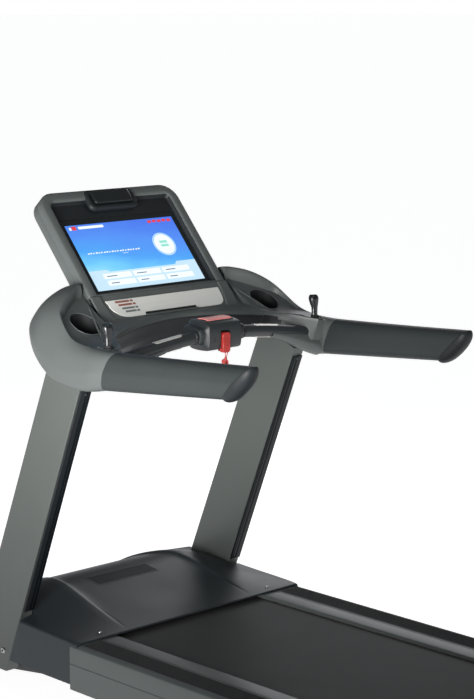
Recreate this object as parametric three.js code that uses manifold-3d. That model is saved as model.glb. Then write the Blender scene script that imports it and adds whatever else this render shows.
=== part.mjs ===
// A commercial motor-driven treadmill: low motor hood, running deck, leaning
// uprights and a horseshoe console with long side grips.
// Millimetres, +Z up, +Y the way the runner faces, origin on the floor under the
// centre of the bounding box. "Left" is the runner's left, -X.
import * as THREE from "three";
import { mergeVertices } from "three/addons/utils/BufferGeometryUtils.js";
import Module from "manifold-3d";

const wasm = await Module();
wasm.setup();

// ---------------------------------------------------------------- dimensions
const GAP = 0.3; // clearance kept between touching pieces
const HALF_LENGTH = 1105; // front panel to rear caps, each way from the origin
const RAIL = { inner: 288, outer: 440, top: 225, bottom: 95, rear: -1030, front: 470 };
const BELT = { halfWidth: 280, thick: 2.5 };
const ROLLER = { radius: 45, z: 167, frontY: 520, rearY: -1045, halfLength: 282 };
const PULLEY = { x0: 285, x1: 308, rollerRadius: 48, motorRadius: 22 };
const MOTOR = { y: 800, z: 190, radius: 62, x0: -250, x1: -60 };
const BEAM = { x0: 347.7, x1: 387.7, z0: 80, z1: 180, rear: -1070, front: 1040, wall: 3 };
const UPRIGHT = { inner: 388, outer: 431, lean: 0.403, rearAtTop: 379, top: 1060, bottom: 70 };
const UPRIGHT_DEPTH = { top: 166, bottom: 182 };
const LIFT = { pivotY: 540, pivotZ: 97, wheelY: 985, wheelRadius: 35, armX0: 312, armX1: 340 };
const JACK = { topY: 640, topZ: 225, eyeY: 690, eyeZ: 88 }; // incline actuator pins
const HOOD = { rear: 442, front: 1104.7, skirt: 110, wall: 4, edge: 438 };
const FOOT = { x: 367.7, y: -900 };
const SCREEN = { y: 685, z: 1270, lean: THREE.MathUtils.degToRad(41.1) };
const HOUSING = { half: 262, top: 226, bottom: -140, front: 17, back: -38 };
const CUP = { x: 345, y: -185, radius: 43, floor: -238 };
const LEVER = { x: 396, y: -346, z: -205 };

const PAINT = {
  frame: [0x2b2d2f, 0.55, 0.4],
  steel: [0x8d9092, 0.35, 0.9],
  rubber: [0x151617, 0.9, 0.0],
  belt: [0x17181a, 0.85, 0.0],
  board: [0x6b5237, 0.7, 0.0],
  shell: [0x4a5052, 0.5, 0.1],
  dark: [0x24272a, 0.6, 0.0],
  upright: [0x7b7e78, 0.4, 0.5],
  silver: [0xa8adaa, 0.4, 0.4],
  chrome: [0xd9dad8, 0.15, 1.0],
  glass: [0x2f7fd8, 0.1, 0.0],
  red: [0xc8322b, 0.45, 0.0],
  copper: [0x3b4f6b, 0.5, 0.3],
};

const root = new THREE.Group();
const consoleGroup = new THREE.Group(); // its origin is the display's centre
consoleGroup.position.set(0, SCREEN.y, SCREEN.z);
root.add(consoleGroup);
const faceGroup = new THREE.Group(); // x right, y up the display, z out of its glass
faceGroup.rotation.x = Math.PI / 2 - SCREEN.lean;
consoleGroup.add(faceGroup);

// ------------------------------------------------------------------- helpers
const v3 = (x, y, z) => new THREE.Vector3(x, y, z);

function add(name, geometry, paint, group = root) {
  const [color, roughness, metalness] = PAINT[paint];
  const mesh = new THREE.Mesh(
    geometry,
    new THREE.MeshStandardMaterial({ color, roughness, metalness }),
  );
  mesh.name = name;
  group.add(mesh);
  return mesh;
}

function outline(points) {
  return new THREE.Shape(points.map(([a, b]) => new THREE.Vector2(a, b)));
}

function roundedRect(x0, y0, x1, y1, r) {
  const s = new THREE.Shape();
  s.moveTo(x0 + r, y0);
  s.lineTo(x1 - r, y0);
  s.absarc(x1 - r, y0 + r, r, -Math.PI / 2, 0, false);
  s.lineTo(x1, y1 - r);
  s.absarc(x1 - r, y1 - r, r, 0, Math.PI / 2, false);
  s.lineTo(x0 + r, y1);
  s.absarc(x0 + r, y1 - r, r, Math.PI / 2, Math.PI, false);
  s.lineTo(x0, y0 + r);
  s.absarc(x0 + r, y0 + r, r, Math.PI, Math.PI * 1.5, false);
  return s;
}

// Extrusions of a shape along one axis, from a to b. Shapes are drawn in (y, z),
// (x, z) and (x, y) in turn.
const AXES = {
  x: new THREE.Matrix4().makeBasis(v3(0, 1, 0), v3(0, 0, 1), v3(1, 0, 0)),
  y: new THREE.Matrix4().makeBasis(v3(1, 0, 0), v3(0, 0, 1), v3(0, -1, 0)),
  z: new THREE.Matrix4(),
};

function extrude(axis, shape, a, b, curveSegments = 5) {
  const low = Math.min(a, b);
  const high = Math.max(a, b);
  const options = { depth: high - low, bevelEnabled: false, curveSegments };
  const g = new THREE.ExtrudeGeometry(shape, options);
  g.translate(0, 0, axis === "y" ? -high : low);
  return g.applyMatrix4(AXES[axis]);
}

function box(x0, y0, z0, x1, y1, z1) {
  const g = new THREE.BoxGeometry(x1 - x0, y1 - y0, z1 - z0);
  return g.translate((x0 + x1) / 2, (y0 + y1) / 2, (z0 + z1) / 2);
}

// A cylinder or tube about the X axis through (y, z).
function roundX(radius, y, z, x0, x1, sides = 28) {
  const g = new THREE.CylinderGeometry(radius, radius, x1 - x0, sides);
  return g.rotateZ(Math.PI / 2).translate((x0 + x1) / 2, y, z);
}

function roundZ(radius, x, y, z0, z1, sides = 24) {
  const g = new THREE.CylinderGeometry(radius, radius, z1 - z0, sides);
  return g.rotateX(Math.PI / 2).translate(x, y, (z0 + z1) / 2);
}

// A closed skin over rings of equal length, each end closed by a fan.
function loft(rings) {
  const n = rings[0].length;
  const points = rings.flat();
  const faces = [];
  for (let i = 0; i + 1 < rings.length; i++) {
    for (let j = 0; j < n; j++) {
      const a = i * n + j;
      const b = i * n + ((j + 1) % n);
      faces.push(a, b, b + n, a, b + n, a + n);
    }
  }
  for (const [ring, flip] of [[0, true], [rings.length - 1, false]]) {
    const centre = points.length;
    const sum = v3(0, 0, 0);
    rings[ring].forEach((p) => sum.add(p));
    points.push(sum.divideScalar(n));
    for (let j = 0; j < n; j++) {
      const a = ring * n + j;
      const b = ring * n + ((j + 1) % n);
      faces.push(...(flip ? [b, a, centre] : [a, b, centre]));
    }
  }
  const g = new THREE.BufferGeometry();
  g.setFromPoints(points);
  g.setIndex(faces);
  return solid(g).volume() < 0 ? flipped(g) : g;
}

function flipped(g) {
  const index = [...g.index.array];
  for (let i = 0; i < index.length; i += 3) [index[i + 1], index[i + 2]] = [index[i + 2], index[i + 1]];
  return g.setIndex(index);
}

function solid(geometry) {
  const g = geometry.clone();
  g.deleteAttribute("normal");
  g.deleteAttribute("uv");
  const merged = mergeVertices(g, 1e-3);
  const mesh = new wasm.Mesh({
    numProp: 3,
    vertProperties: new Float32Array(merged.attributes.position.array),
    triVerts: new Uint32Array(merged.index.array),
  });
  return new wasm.Manifold(mesh);
}

function surface(manifold) {
  const m = manifold.getMesh();
  const g = new THREE.BufferGeometry();
  const xyz = new Float32Array(m.numVert * 3);
  for (let i = 0; i < m.numVert; i++) xyz.set(m.vertProperties.subarray(i * m.numProp, i * m.numProp + 3), i * 3);
  g.setAttribute("position", new THREE.BufferAttribute(xyz, 3));
  g.setIndex(new THREE.BufferAttribute(new Uint32Array(m.triVerts), 1));
  g.computeVertexNormals();
  return g;
}

const cut = (a, ...tools) => surface(tools.reduce((s, t) => s.subtract(solid(t)), solid(a)));
const join = (a, ...more) => surface(more.reduce((s, t) => s.add(solid(t)), solid(a)));

// The same geometry on the runner's right, for pieces drawn on the left.
function mirrored(geometry) {
  const g = geometry.index ? geometry.clone() : mergeVertices(geometry.clone(), 1e-4);
  return flipped(g.applyMatrix4(new THREE.Matrix4().makeScale(-1, 1, 1)));
}

function addPair(name, geometry, paint, group = root) {
  add(name + "_left", geometry, paint, group);
  add(name + "_right", mirrored(geometry), paint, group);
}

// Two circles (y, z, r) joined by their outer tangents, as a shape in (y, z).
function loopShape(a, b, grow, segments = 14) {
  const run = Math.hypot(b.y - a.y, b.z - a.z);
  const tilt = Math.atan2(b.z - a.z, b.y - a.y);
  const spread = Math.acos((a.r - b.r) / run);
  const points = [];
  const arc = (c, from, to) => {
    for (let i = 0; i <= segments; i++) {
      const t = from + ((to - from) * i) / segments;
      points.push(new THREE.Vector2(c.y + (c.r + grow) * Math.cos(t), c.z + (c.r + grow) * Math.sin(t)));
    }
  };
  arc(b, tilt - spread, tilt + spread);
  arc(a, tilt + spread, tilt + 2 * Math.PI - spread);
  return points;
}

function loop(a, b, inside, outside, x0, x1, segments) {
  const shape = new THREE.Shape(loopShape(a, b, outside, segments));
  shape.holes.push(new THREE.Path(loopShape(a, b, inside, segments)));
  return extrude("x", shape, x0, x1);
}

// -------------------------------------------------------------- steel frame
function frameParts() {
  const { x0, x1, z0, z1, rear, front, wall } = BEAM;
  const section = outline([[-x1, z0], [-x0, z0], [-x0, z1], [-x1, z1]]);
  const hollow = [[-x1 + wall, z0 + wall], [-x1 + wall, z1 - wall], [-x0 - wall, z1 - wall], [-x0 - wall, z0 + wall]];
  section.holes.push(new THREE.Path(hollow.map(([a, b]) => new THREE.Vector2(a, b))));
  const tube = extrude("y", section, rear, front);
  const beam = cut(tube, roundZ(8.6, -FOOT.x, FOOT.y, z0 - 1, z0 + wall + 1, 16));
  addPair("frame_beam", beam, "frame");

  const span = x0 - GAP;
  const front1 = box(-span, 998, 85, span, front, 125);
  const pan = box(-305, 752, 100, 305, 999, 106);
  add("motor_mount_frame", join(front1, pan), "frame");
  const bracket = new THREE.Shape(loopShape({ y: JACK.topY, z: JACK.topZ, r: 38 }, { y: 729, z: 120, r: 13 }, 0, 8));
  const ears = [[-46, -40], [60, 66]].map(([a, b]) => extrude("x", bracket, a, b));
  const trunnion = roundX(10.5, JACK.topY, JACK.topZ, -50, -36, 20);
  const collar = roundX(30.6, JACK.topY, JACK.topZ, 50, 70, 28);
  const cross = box(-span, 714, 106, span, 744, 134);
  add("lift_crossmember", cut(join(cross, ...ears), trunnion, collar), "frame");
  add("deck_crossmember_front", box(-span, 230, 128, span, 270, 165), "frame");
  add("deck_crossmember_rear", box(-span, -760, 128, span, -720, 165), "frame");

  const stem = roundZ(8, -FOOT.x, FOOT.y, 14, 125, 16);
  const pad = roundZ(30, -FOOT.x, FOOT.y, 0, 20, 28);
  addPair("levelling_foot", join(pad, stem), "rubber");
}

// -------------------------------------------------------------- running deck
function deckParts() {
  add("deck_board", box(-305, -985, 187, 305, 455, 212), "board");
  const cushion = box(-300, -985, 165.3, -250, 455, 186.7);
  addPair("deck_cushion", cushion, "rubber");

  const front = { y: ROLLER.frontY, z: ROLLER.z, r: ROLLER.radius };
  const rear = { y: ROLLER.rearY, z: ROLLER.z, r: ROLLER.radius };
  const inside = GAP;
  const w = BELT.halfWidth;
  add("running_belt", loop(rear, front, inside, inside + BELT.thick, -w, w, 20), "belt");

  const bore = 12.4;
  const half = ROLLER.halfLength;
  const tube = roundX(ROLLER.radius, front.y, front.z, -half, half, 36);
  const pulley = roundX(PULLEY.rollerRadius, front.y, front.z, -PULLEY.x1, -half + 1, 36);
  const frontBore = roundX(bore, front.y, front.z, -400, 400, 20);
  add("front_roller", cut(join(tube, pulley), frontBore), "steel");
  const rearTube = roundX(ROLLER.radius, rear.y, rear.z, -half, half, 36);
  const rearBore = roundX(bore, rear.y, rear.z, -400, 400, 20);
  add("rear_roller", cut(rearTube, rearBore), "steel");
  const reach = BEAM.x0 - GAP;
  add("front_roller_axle", roundX(12, front.y, front.z, -reach, reach, 20), "steel");
  add("rear_roller_axle", roundX(12, rear.y, rear.z, -reach, reach, 20), "steel");

  const { inner, outer, top, bottom, rear: r0, front: r1 } = RAIL;
  const rail = outline([
    [-outer, bottom], [-outer + 5, bottom], [-outer + 5, top - 6], [-inner - 5, top - 6],
    [-inner - 5, top - 12], [-inner, top - 12], [-inner, top - 3], [-inner - 3, top],
    [-outer + 12, top], [-outer + 3, top - 4], [-outer, top - 12],
  ]);
  addPair("foot_rail", extrude("y", rail, r0, r1), "dark");

  const cap = loft([
    rearCapRing(RAIL.rear - GAP, 0),
    rearCapRing(-1075, 0),
    rearCapRing(-1096, 8),
    rearCapRing(-HALF_LENGTH, 26),
  ]);
  const inside1 = box(-outer + 6, -1096, bottom - 5, -inner - 6, RAIL.rear + 1, top - 6);
  const axleWay = box(-300, -1062, bottom - 5, -280, RAIL.rear + 1, top - 35);
  addPair("rear_cap", cut(cap, inside1, axleWay), "dark");
}

function rearCapRing(y, inset) {
  const x0 = -RAIL.outer + inset;
  const x1 = -RAIL.inner;
  const z0 = RAIL.bottom + inset * 0.5;
  const z1 = RAIL.top - inset * 0.6;
  return [
    v3(x0, y, z0), v3(x1, y, z0), v3(x1, y, z1 - 3), v3(x1 - 3, y, z1),
    v3(x0 + 16, y, z1), v3(x0 + 5, y, z1 - 5), v3(x0, y, z1 - 16),
  ];
}

// --------------------------------------------------------------- drive train
function driveParts() {
  const rollerPulley = { y: ROLLER.frontY, z: ROLLER.z, r: PULLEY.rollerRadius };
  const motorPulley = { y: MOTOR.y, z: MOTOR.z, r: PULLEY.motorRadius };
  const belt = loop(rollerPulley, motorPulley, GAP, GAP + 4, -PULLEY.x1 + 3, -PULLEY.x0 - 2, 20);
  add("drive_belt", belt, "rubber");

  const { y, z, radius, x0, x1 } = MOTOR;
  const can = roundX(radius, y, z, x0, x1, 32);
  const mount = box(x0 + 20, y - 50, 106 + GAP, x1 - 20, y + 50, z - 40);
  const shaftBore = roundX(9, y, z, x0 - 5, x1 + 5, 16);
  add("drive_motor", cut(join(can, mount), shaftBore), "copper");
  const shaft = roundX(8.6, y, z, -PULLEY.x1, x1 + 4, 16);
  const flywheel = roundX(66, y, z, x0 - 26, x0 - 4, 32);
  const pulley = roundX(PULLEY.motorRadius, y, z, -PULLEY.x1, -PULLEY.x0, 24);
  add("motor_flywheel", join(shaft, flywheel, pulley), "steel");

  const body = box(60, 765, 106 + GAP, 280, 975, 165);
  const fins = [];
  for (let x = 64; x < 276; x += 20) fins.push(box(x, 770, 164, x + 5, 970, 190));
  add("motor_controller", join(body, ...fins), "steel");
}

// ------------------------------------------------------------- incline frame
function liftParts() {
  const { pivotY, pivotZ, wheelY, wheelRadius, armX0, armX1 } = LIFT;
  const pivot = { y: pivotY, z: pivotZ, r: 18 };
  const hub = { y: wheelY, z: wheelRadius, r: 17 };
  const arms = [-1, 1].map((side) => {
    const shape = new THREE.Shape(loopShape(pivot, hub, 0, 8));
    const a = side < 0 ? -armX1 : armX0;
    return extrude("x", shape, a, a + armX1 - armX0);
  });
  const shaft = roundX(10, pivotY, pivotZ, -BEAM.x0 + GAP, BEAM.x0 - GAP, 20);
  const cross = roundX(15, 724, 68, -armX0 - 1, armX0 + 1, 20);
  const lug = extrude("x", outline([[JACK.eyeY - 16, JACK.eyeZ + 4], [JACK.eyeY - 16, JACK.eyeZ - 20],
    [724, 56], [730, 76], [JACK.eyeY + 14, JACK.eyeZ + 14]]), -5, 5);
  const eye = roundX(12, JACK.eyeY, JACK.eyeZ, -6, 6, 20);
  const axle = roundX(8, wheelY, wheelRadius, -380, 380, 16);
  const body = join(arms[0], arms[1], shaft, cross, lug, axle);
  add("lift_frame", cut(body, eye), "frame");
  const tyre = roundX(wheelRadius, wheelY, wheelRadius, -374, -armX1 - 3, 32);
  addPair("transport_wheel", cut(tyre, roundX(8.4, wheelY, wheelRadius, -400, -300, 16)), "rubber");

  const { topY, topZ, eyeY, eyeZ } = JACK;
  const reach = Math.hypot(eyeY - topY, eyeZ - topZ);
  const swing = Math.atan2(eyeY - topY, topZ - eyeZ); // from straight down, forwards
  const place = (g) => g.rotateX(swing).translate(0, topY, topZ);
  const gearbox = box(-34, -34, -34, 34, 34, 26);
  const jacket = roundZ(17, 0, 0, -reach + 34, -30, 20);
  const screwBore = roundZ(10, 0, 0, -reach, 10, 16);
  const can = roundX(30, 0, 0, 33, 150, 28);
  const trunnion = roundX(10, 0, 0, -49, -33, 20);
  add("incline_motor", place(cut(join(gearbox, jacket, can, trunnion), screwBore)), "copper");
  const screw = roundZ(9, 0, 0, -reach + 18, 5, 16);
  const yoke = cut(box(-16, -13, -reach - 12, 16, 13, -reach + 22), box(-9, -20, -reach - 20, 9, 20, -reach + 15));
  const pin = roundX(6, 0, -reach, -15, 15, 16);
  add("incline_screw", place(join(screw, yoke, pin)), "steel");
}

// ------------------------------------------------------------------- hood
const hoodCentreLine = new THREE.CatmullRomCurve3([
  v3(0, 442, 231), v3(0, 560, 256), v3(0, 680, 283), v3(0, 760, 297), v3(0, 835, 292),
  v3(0, 920, 268), v3(0, 1000, 234), v3(0, 1065, 192), v3(0, 1104.7, 146),
]);

// Height of the hood's skin at |x| for a station on the centre line.
function hoodHeight(x, station) {
  const rise = THREE.MathUtils.smoothstep(station.y, 442, 800);
  const ridge = 7 * rise * Math.exp(-(((x - 225) / 75) ** 2));
  const outward = Math.max(0, (x - 225) / (HOOD.edge - 225));
  const edgeZ = 233 + (station.y - 442) * 0.06;
  const drop = Math.max(0, station.z - edgeZ) * outward ** 1.5;
  return station.z + ridge - drop;
}

function hoodRing(t, inset) {
  const station = hoodCentreLine.getPointAt(t);
  const nose = THREE.MathUtils.smoothstep(station.y, 950, HOOD.front);
  const edge = HOOD.edge - 70 * nose ** 2 - inset;
  const ring = [];
  for (const share of [-1, -0.9, -0.75, -0.6, -0.5, -0.35, 0, 0.35, 0.5, 0.6, 0.75, 0.9, 1]) {
    const x = share * edge;
    ring.push(v3(x, station.y, Math.max(HOOD.skirt + 4, hoodHeight(Math.abs(x), station) - inset)));
  }
  ring.push(v3(edge, station.y, HOOD.skirt - (inset ? 10 : 0)), v3(-edge, station.y, HOOD.skirt - (inset ? 10 : 0)));
  return ring;
}

function hoodParts() {
  const steps = 18;
  const rings = (inset) => Array.from({ length: steps + 1 }, (_, i) => hoodRing(i / steps, inset));
  const outside = loft(rings(0));
  const inside = loft(rings(HOOD.wall)).scale(1, 1, 1);
  inside.translate(0, -HOOD.wall, 0);
  const overDeck = box(-460, 430, 60, 460, RAIL.front + 3, 226.5);
  const notches = [-1, 1].map((s) => uprightBlock(3, 7, s));
  add("motor_hood", cut(outside, inside, overDeck, ...notches), "shell");

  const panel = box(-380, 1041, 62, 380, HALF_LENGTH, HOOD.skirt - GAP);
  const inlet = box(-282, 1080, 70, -238, 1110, 102);
  const rocker = box(-210, 1080, 72, -186, 1110, 100);
  const shell = box(-372, 1035, 70, 372, 1084, 120);
  add("front_panel", cut(panel, inlet, rocker, shell), "dark");
  const socket = cut(
    box(-281.5, 1086, 70.5, -238.5, HALF_LENGTH - 1, 101.5),
    box(-275, 1094, 76, -245, 1110, 96),
  );
  add("power_inlet", socket, "dark");
  add("power_switch", box(-209, 1091, 74, -187, 1104, 98), "rubber");
}

// ---------------------------------------------------------------- uprights
function uprightRear(z) {
  return UPRIGHT.rearAtTop + (UPRIGHT.top - z) * UPRIGHT.lean;
}

function uprightFront(z) {
  const share = (UPRIGHT.top - z) / (UPRIGHT.top - UPRIGHT.bottom);
  return uprightRear(z) + UPRIGHT_DEPTH.top + share * (UPRIGHT_DEPTH.bottom - UPRIGHT_DEPTH.top);
}

// The upright's envelope on one side, grown by a clearance and wider outwards.
function uprightBlock(grow, outwards, side) {
  const [z0, z1] = [0, UPRIGHT.top];
  const shape = outline([
    [uprightRear(z0) - grow, z0], [uprightFront(z0) + grow, z0],
    [uprightFront(z1) + grow, z1], [uprightRear(z1) - grow, z1],
  ]);
  const a = UPRIGHT.inner - grow;
  const b = UPRIGHT.outer + outwards + grow;
  return side < 0 ? extrude("x", shape, -b, -a) : extrude("x", shape, a, b);
}

function uprightParts() {
  const { inner, outer, top, bottom } = UPRIGHT;
  const section = (z, inset) => {
    const y0 = uprightRear(z) + inset;
    const y1 = uprightFront(z) - inset;
    const r = 14 - inset;
    const ring = [v3(-outer + inset, y0 + 2, z), v3(-inner - inset, y0 + 2, z)];
    for (const [cx, from] of [[-inner - inset - r, 0], [-outer + inset + r, Math.PI / 2]]) {
      for (let i = 0; i <= 4; i++) {
        const t = from + (Math.PI / 8) * i;
        ring.push(v3(cx + r * Math.cos(t), y1 - r + r * Math.sin(t), z));
      }
    }
    return ring;
  };
  const outside = loft([section(bottom, 0), section(top, 0)]);
  const inside = loft([section(bottom - 30, 4), section(top + 30, 4)]);
  const seat = outline([
    [300, 950], [346, 958], [385, 957], [440, 965], [508, 982], [530, 996], [560, 1019], [580, 1047], [620, 1060],
    [620, 1200], [300, 1200],
  ]);
  const column = cut(outside, inside, extrude("x", seat, -500, -300));
  addPair("upright", column, "upright");
  const trim = extrude("x", outline([
    [uprightRear(264) - 7, 264], [uprightRear(264) + 1.7, 264],
    [uprightRear(950) + 1.7, 950], [uprightRear(950) - 7, 950],
  ]), -outer + 5, -inner - 5);
  addPair("upright_trim", trim, "dark");
}

// ------------------------------------------------------------- console shell
// Section points of a superellipse, half-height along `up` and half-width along X.
function section(centre, up, width, sides = 16, power = 2.5) {
  return Array.from({ length: sides }, (_, i) => {
    const t = (i / sides) * 2 * Math.PI;
    const c = Math.sign(Math.cos(t)) * Math.abs(Math.cos(t)) ** (2 / power);
    const s = Math.sign(Math.sin(t)) * Math.abs(Math.sin(t)) ** (2 / power);
    return v3(centre.x + width * c, centre.y + up.y * s, centre.z + up.z * s);
  });
}

// The crossbar's centre line: arched, lowest where it enters the arms.
function barCentre(x) {
  const share = Math.abs(x) / 370;
  return v3(x, -352 + 6 * share, -197 - 40 * share ** 1.6);
}

function bar(radius, x0, x1, steps) {
  return loft(Array.from({ length: steps + 1 }, (_, i) => {
    const c = barCentre(x0 + ((x1 - x0) * i) / steps);
    return Array.from({ length: 20 }, (_, k) => {
      const t = (k / 20) * 2 * Math.PI;
      return v3(c.x, c.y + radius * Math.cos(t), c.z + radius * Math.sin(t));
    });
  }));
}

// Follows the bar as a block from `low` to `high` above its centre line.
function barSlice(low, high, x0, x1, steps) {
  return loft(Array.from({ length: steps + 1 }, (_, i) => {
    const c = barCentre(x0 + ((x1 - x0) * i) / steps);
    return [[-60, low], [60, low], [60, high], [-60, high]].map(([y, z]) => v3(c.x, c.y + y, c.z + z));
  }));
}

// The left half of the horseshoe, from the grip's seam round the front corner and in
// to the display housing. Each station has its crest, its underside and its outermost
// point, in the same frame as the floor.
const RIM = [
  { crest: v3(-423, 267.6, 1076), under: v3(-423, 309.6, 967), outer: v3(-461, 288.6, 1021.5) },
  { crest: v3(-429, 330, 1076), under: v3(-429, 346, 961), outer: v3(-467, 338, 1014) },
  { crest: v3(-436, 393, 1080), under: v3(-436, 385, 960), outer: v3(-466, 390, 1008) },
  { crest: v3(-438, 453, 1096), under: v3(-436, 440, 970), outer: v3(-466, 458, 1008) },
  { crest: v3(-420, 520, 1147), under: v3(-434, 508, 992), outer: v3(-465, 530, 1034) },
  { crest: v3(-390, 549, 1176), under: v3(-412, 556, 1032), outer: v3(-460, 592, 1076) },
  { crest: v3(-350, 576, 1198), under: v3(-376, 602, 1070), outer: v3(-424, 642, 1116) },
  { crest: v3(-305, 604, 1210), under: v3(-320, 632, 1084), outer: v3(-345, 674, 1138) },
  { crest: v3(-277, 612, 1212), under: v3(-277, 634, 1088), outer: v3(-277, 676, 1144) },
];
const TRAY_PLAN = [
  [-277, 427], [-277, 625], [-300, 620], [-345, 600], [-390, 570], [-428, 525], [-448, 455], [-445, 385],
  [-430, 330], [-405, 300], [-372, 300], [-366, 332], [-348, 367], [-318, 401],
];

// The shell under the crossbar, thin at its inner end and as deep as the arm outside.
function barFairing() {
  const stations = [[-225, 3, 18.5, 18.5], [-270, 9, 22, 21], [-320, 18, 27, 29], [-365, 24, 31, 36], [-400, 26, 33, 40]];
  const shell = loft(stations.map(([x, drop, deep, tall]) => {
    const c = barCentre(x);
    return Array.from({ length: 16 }, (_, i) => {
      const t = (i / 16) * 2 * Math.PI;
      return v3(x, c.y + deep * Math.cos(t), c.z - drop + tall * Math.sin(t));
    });
  }));
  return cut(shell, barSlice(-7, 80, -374, -200, 3));
}

function rimRing({ crest, under, outer }, sides = 18) {
  const centre = crest.clone().add(under).multiplyScalar(0.5);
  const up = crest.clone().sub(centre);
  const out = outer.clone().sub(centre);
  return Array.from({ length: sides }, (_, i) => {
    const t = (i / sides) * 2 * Math.PI;
    const c = Math.sign(Math.cos(t)) * Math.abs(Math.cos(t)) ** 0.84;
    const s = Math.sign(Math.sin(t)) * Math.abs(Math.sin(t)) ** 0.84;
    return centre.clone().addScaledVector(out, c).addScaledVector(up, s);
  });
}

function consoleArm() {
  const rim = loft(RIM.map((station) => rimRing(station))).translate(0, -SCREEN.y, -SCREEN.z);
  const slope = Math.tan(Math.PI / 6);
  const shelfZ = (y) => -153 + (y - CUP.y) * slope;
  const block = extrude("x", outline([
    [-385, -198], [-372, -197], [-240, shelfZ(-240)], [-80, shelfZ(-80)],
    [-70, -150], [-120, -215], [-200, -258], [-330, -262],
  ]), -450, -276.3);
  const plan = extrude("z", outline(TRAY_PLAN), -400, 0).translate(0, -SCREEN.y, 0);
  const shelf = surface(solid(block).intersect(solid(plan)));
  const well = roundZ(CUP.radius, -CUP.x, CUP.y, CUP.floor, 0, 28);
  const slot = box(-LEVER.x - 15, LEVER.y - 20, LEVER.z - 12, -LEVER.x + 15, LEVER.y + 20, -100);
  const beyond = box(-276.3, -600, -500, 0, 200, 300);
  const arm = cut(join(rim, shelf), well, slot, beyond);
  return cut(join(arm, barFairing()), bar(18.8, -374, -200, 12));
}

function consoleBase() {
  const half = 275.9;
  const ridge = (x) => {
    const share = Math.abs(x) / half;
    return { y: -181 - 72 * share ** 1.7, z: -160 - 14 * share ** 2 };
  };
  const rings = [-1, -0.75, -0.5, -0.25, 0, 0.25, 0.5, 0.75, 1].map((s) => {
    const x = s * half;
    const { y, z } = ridge(x);
    return [[y, z], [y + 22, z - 66], [-140, -262], [-60, -255], [-14, -200], [-10, -120], [-30, -70], [-80, -92],
      [-158, -157]].map(([a, b]) => v3(x, a, b));
  });
  const body = loft(rings);
  const lean = new THREE.Matrix4().makeRotationX(Math.PI / 2 - SCREEN.lean);
  const face = extrude("z", roundedRect(-268, -236, 268, HOUSING.bottom - GAP, 12), -38, 16);
  const sides = [-1, 1].map((s) => box(Math.min(s * 228, s * 268), -228, 0, Math.max(s * 228, s * 268), HOUSING.bottom - GAP, 20));
  const lower = join(face, ...sides).applyMatrix4(lean);
  const above = box(-300, HOUSING.bottom - GAP, -120, 300, 400, 200).applyMatrix4(lean);
  return cut(join(body, lower), above);
}

function consoleParts() {
  addPair("console_arm", consoleArm(), "shell", consoleGroup);
  add("console_base", consoleBase(), "shell", consoleGroup);

  const seam = { at: v3(-423, -396.9, -248.5), up: v3(0, -21, 54.5), width: 38 };
  const mid = { at: v3(-417, -640, -233), up: v3(0, -36, 51), width: 37 };
  const end = { at: v3(-410.3, -875, -216.3), up: v3(0, -52, 49), width: 34 };
  const grip = loft([seam, mid, end].map((r) => section(r.at, r.up, r.width, 20)));
  addPair("grip", grip, "shell", consoleGroup);
  const outward = v3(0, -0.69, -0.73); // normal of the slanted end face
  const domeDepth = 30;
  const capRing = (shift) => {
    const scale = 0.99 * Math.sqrt(1 - (shift / domeDepth) ** 2);
    const centre = end.at.clone().addScaledVector(outward, shift);
    return section(centre, end.up.clone().multiplyScalar(scale), end.width * scale, 20);
  };
  addPair("grip_cap", loft([GAP, 8, 15, 21, 25.5, 28.5].map(capRing)), "dark", consoleGroup);

  add("crossbar", bar(18, -374, 374, 26), "dark", consoleGroup);
  const sleeve = bar(20.3, -238, -138, 5);
  const plate = cut(sleeve, bar(18.6, -250, -126, 6), barSlice(-60, 12, -250, -126, 6));
  addPair("pulse_plate", plate, "chrome", consoleGroup);
  stopPod();
  leverParts();
}

function stopPod() {
  const profile = outline([
    [-385, -228], [-385, -180], [-374, -164], [-310, -156], [-298, -166], [-300, -226], [-312, -239], [-374, -239],
  ]);
  const pod = extrude("x", profile, -66, 66);
  const shoulders = loft([[-96, 14], [-66, 0], [66, 0], [96, 14]].map(([x, e]) =>
    [[-372 + e, -228 + e], [-372 + e, -182 - e], [-316 - e, -170 - e], [-316 - e, -228 + e]].map(([y, z]) => v3(x, y, z))));
  const recess = box(-19, -400, -250, 17, -373, -184);
  const tongue = box(-10, -375, -233, 10, -344, -218);
  const pocket = box(-48, -364, -176, 48, -314, -100);
  add("stop_pod", cut(join(pod, shoulders), bar(18.5, -120, 120, 8), recess, tongue, pocket), "dark", consoleGroup);
  const button = extrude("x", outline([
    [-363, -172], [-363, -159], [-356, -156], [-322, -152], [-315, -154], [-315, -172],
  ]), -47, 47);
  add("stop_button", button, "red", consoleGroup);
  const fob = extrude("y", roundedRect(-15.5, -248, 13.5, -190, 9), -391, -373.3, 4);
  const bladeKey = box(-9, -374, -231, 9, -348, -220);
  add("safety_key", join(fob, bladeKey), "red", consoleGroup);

  add("lanyard_cord", roundZ(1.25, 0, -382, -267, -248.3, 8), "red", consoleGroup);
  const hank = roundedRect(-8.75, -333, 8.75, -267.3, 8.7);
  hank.holes.push(roundedRect(-6.2, -330.5, 6.2, -269.8, 6.1));
  add("lanyard_hank", extrude("y", hank, -390, -374, 6), "red", consoleGroup);
  const clip = extrude("y", outline([[-9, -373], [9, -373], [6, -333.4], [-6, -333.4]]), -387, -377);
  add("lanyard_clip", clip, "dark", consoleGroup);
}

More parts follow.
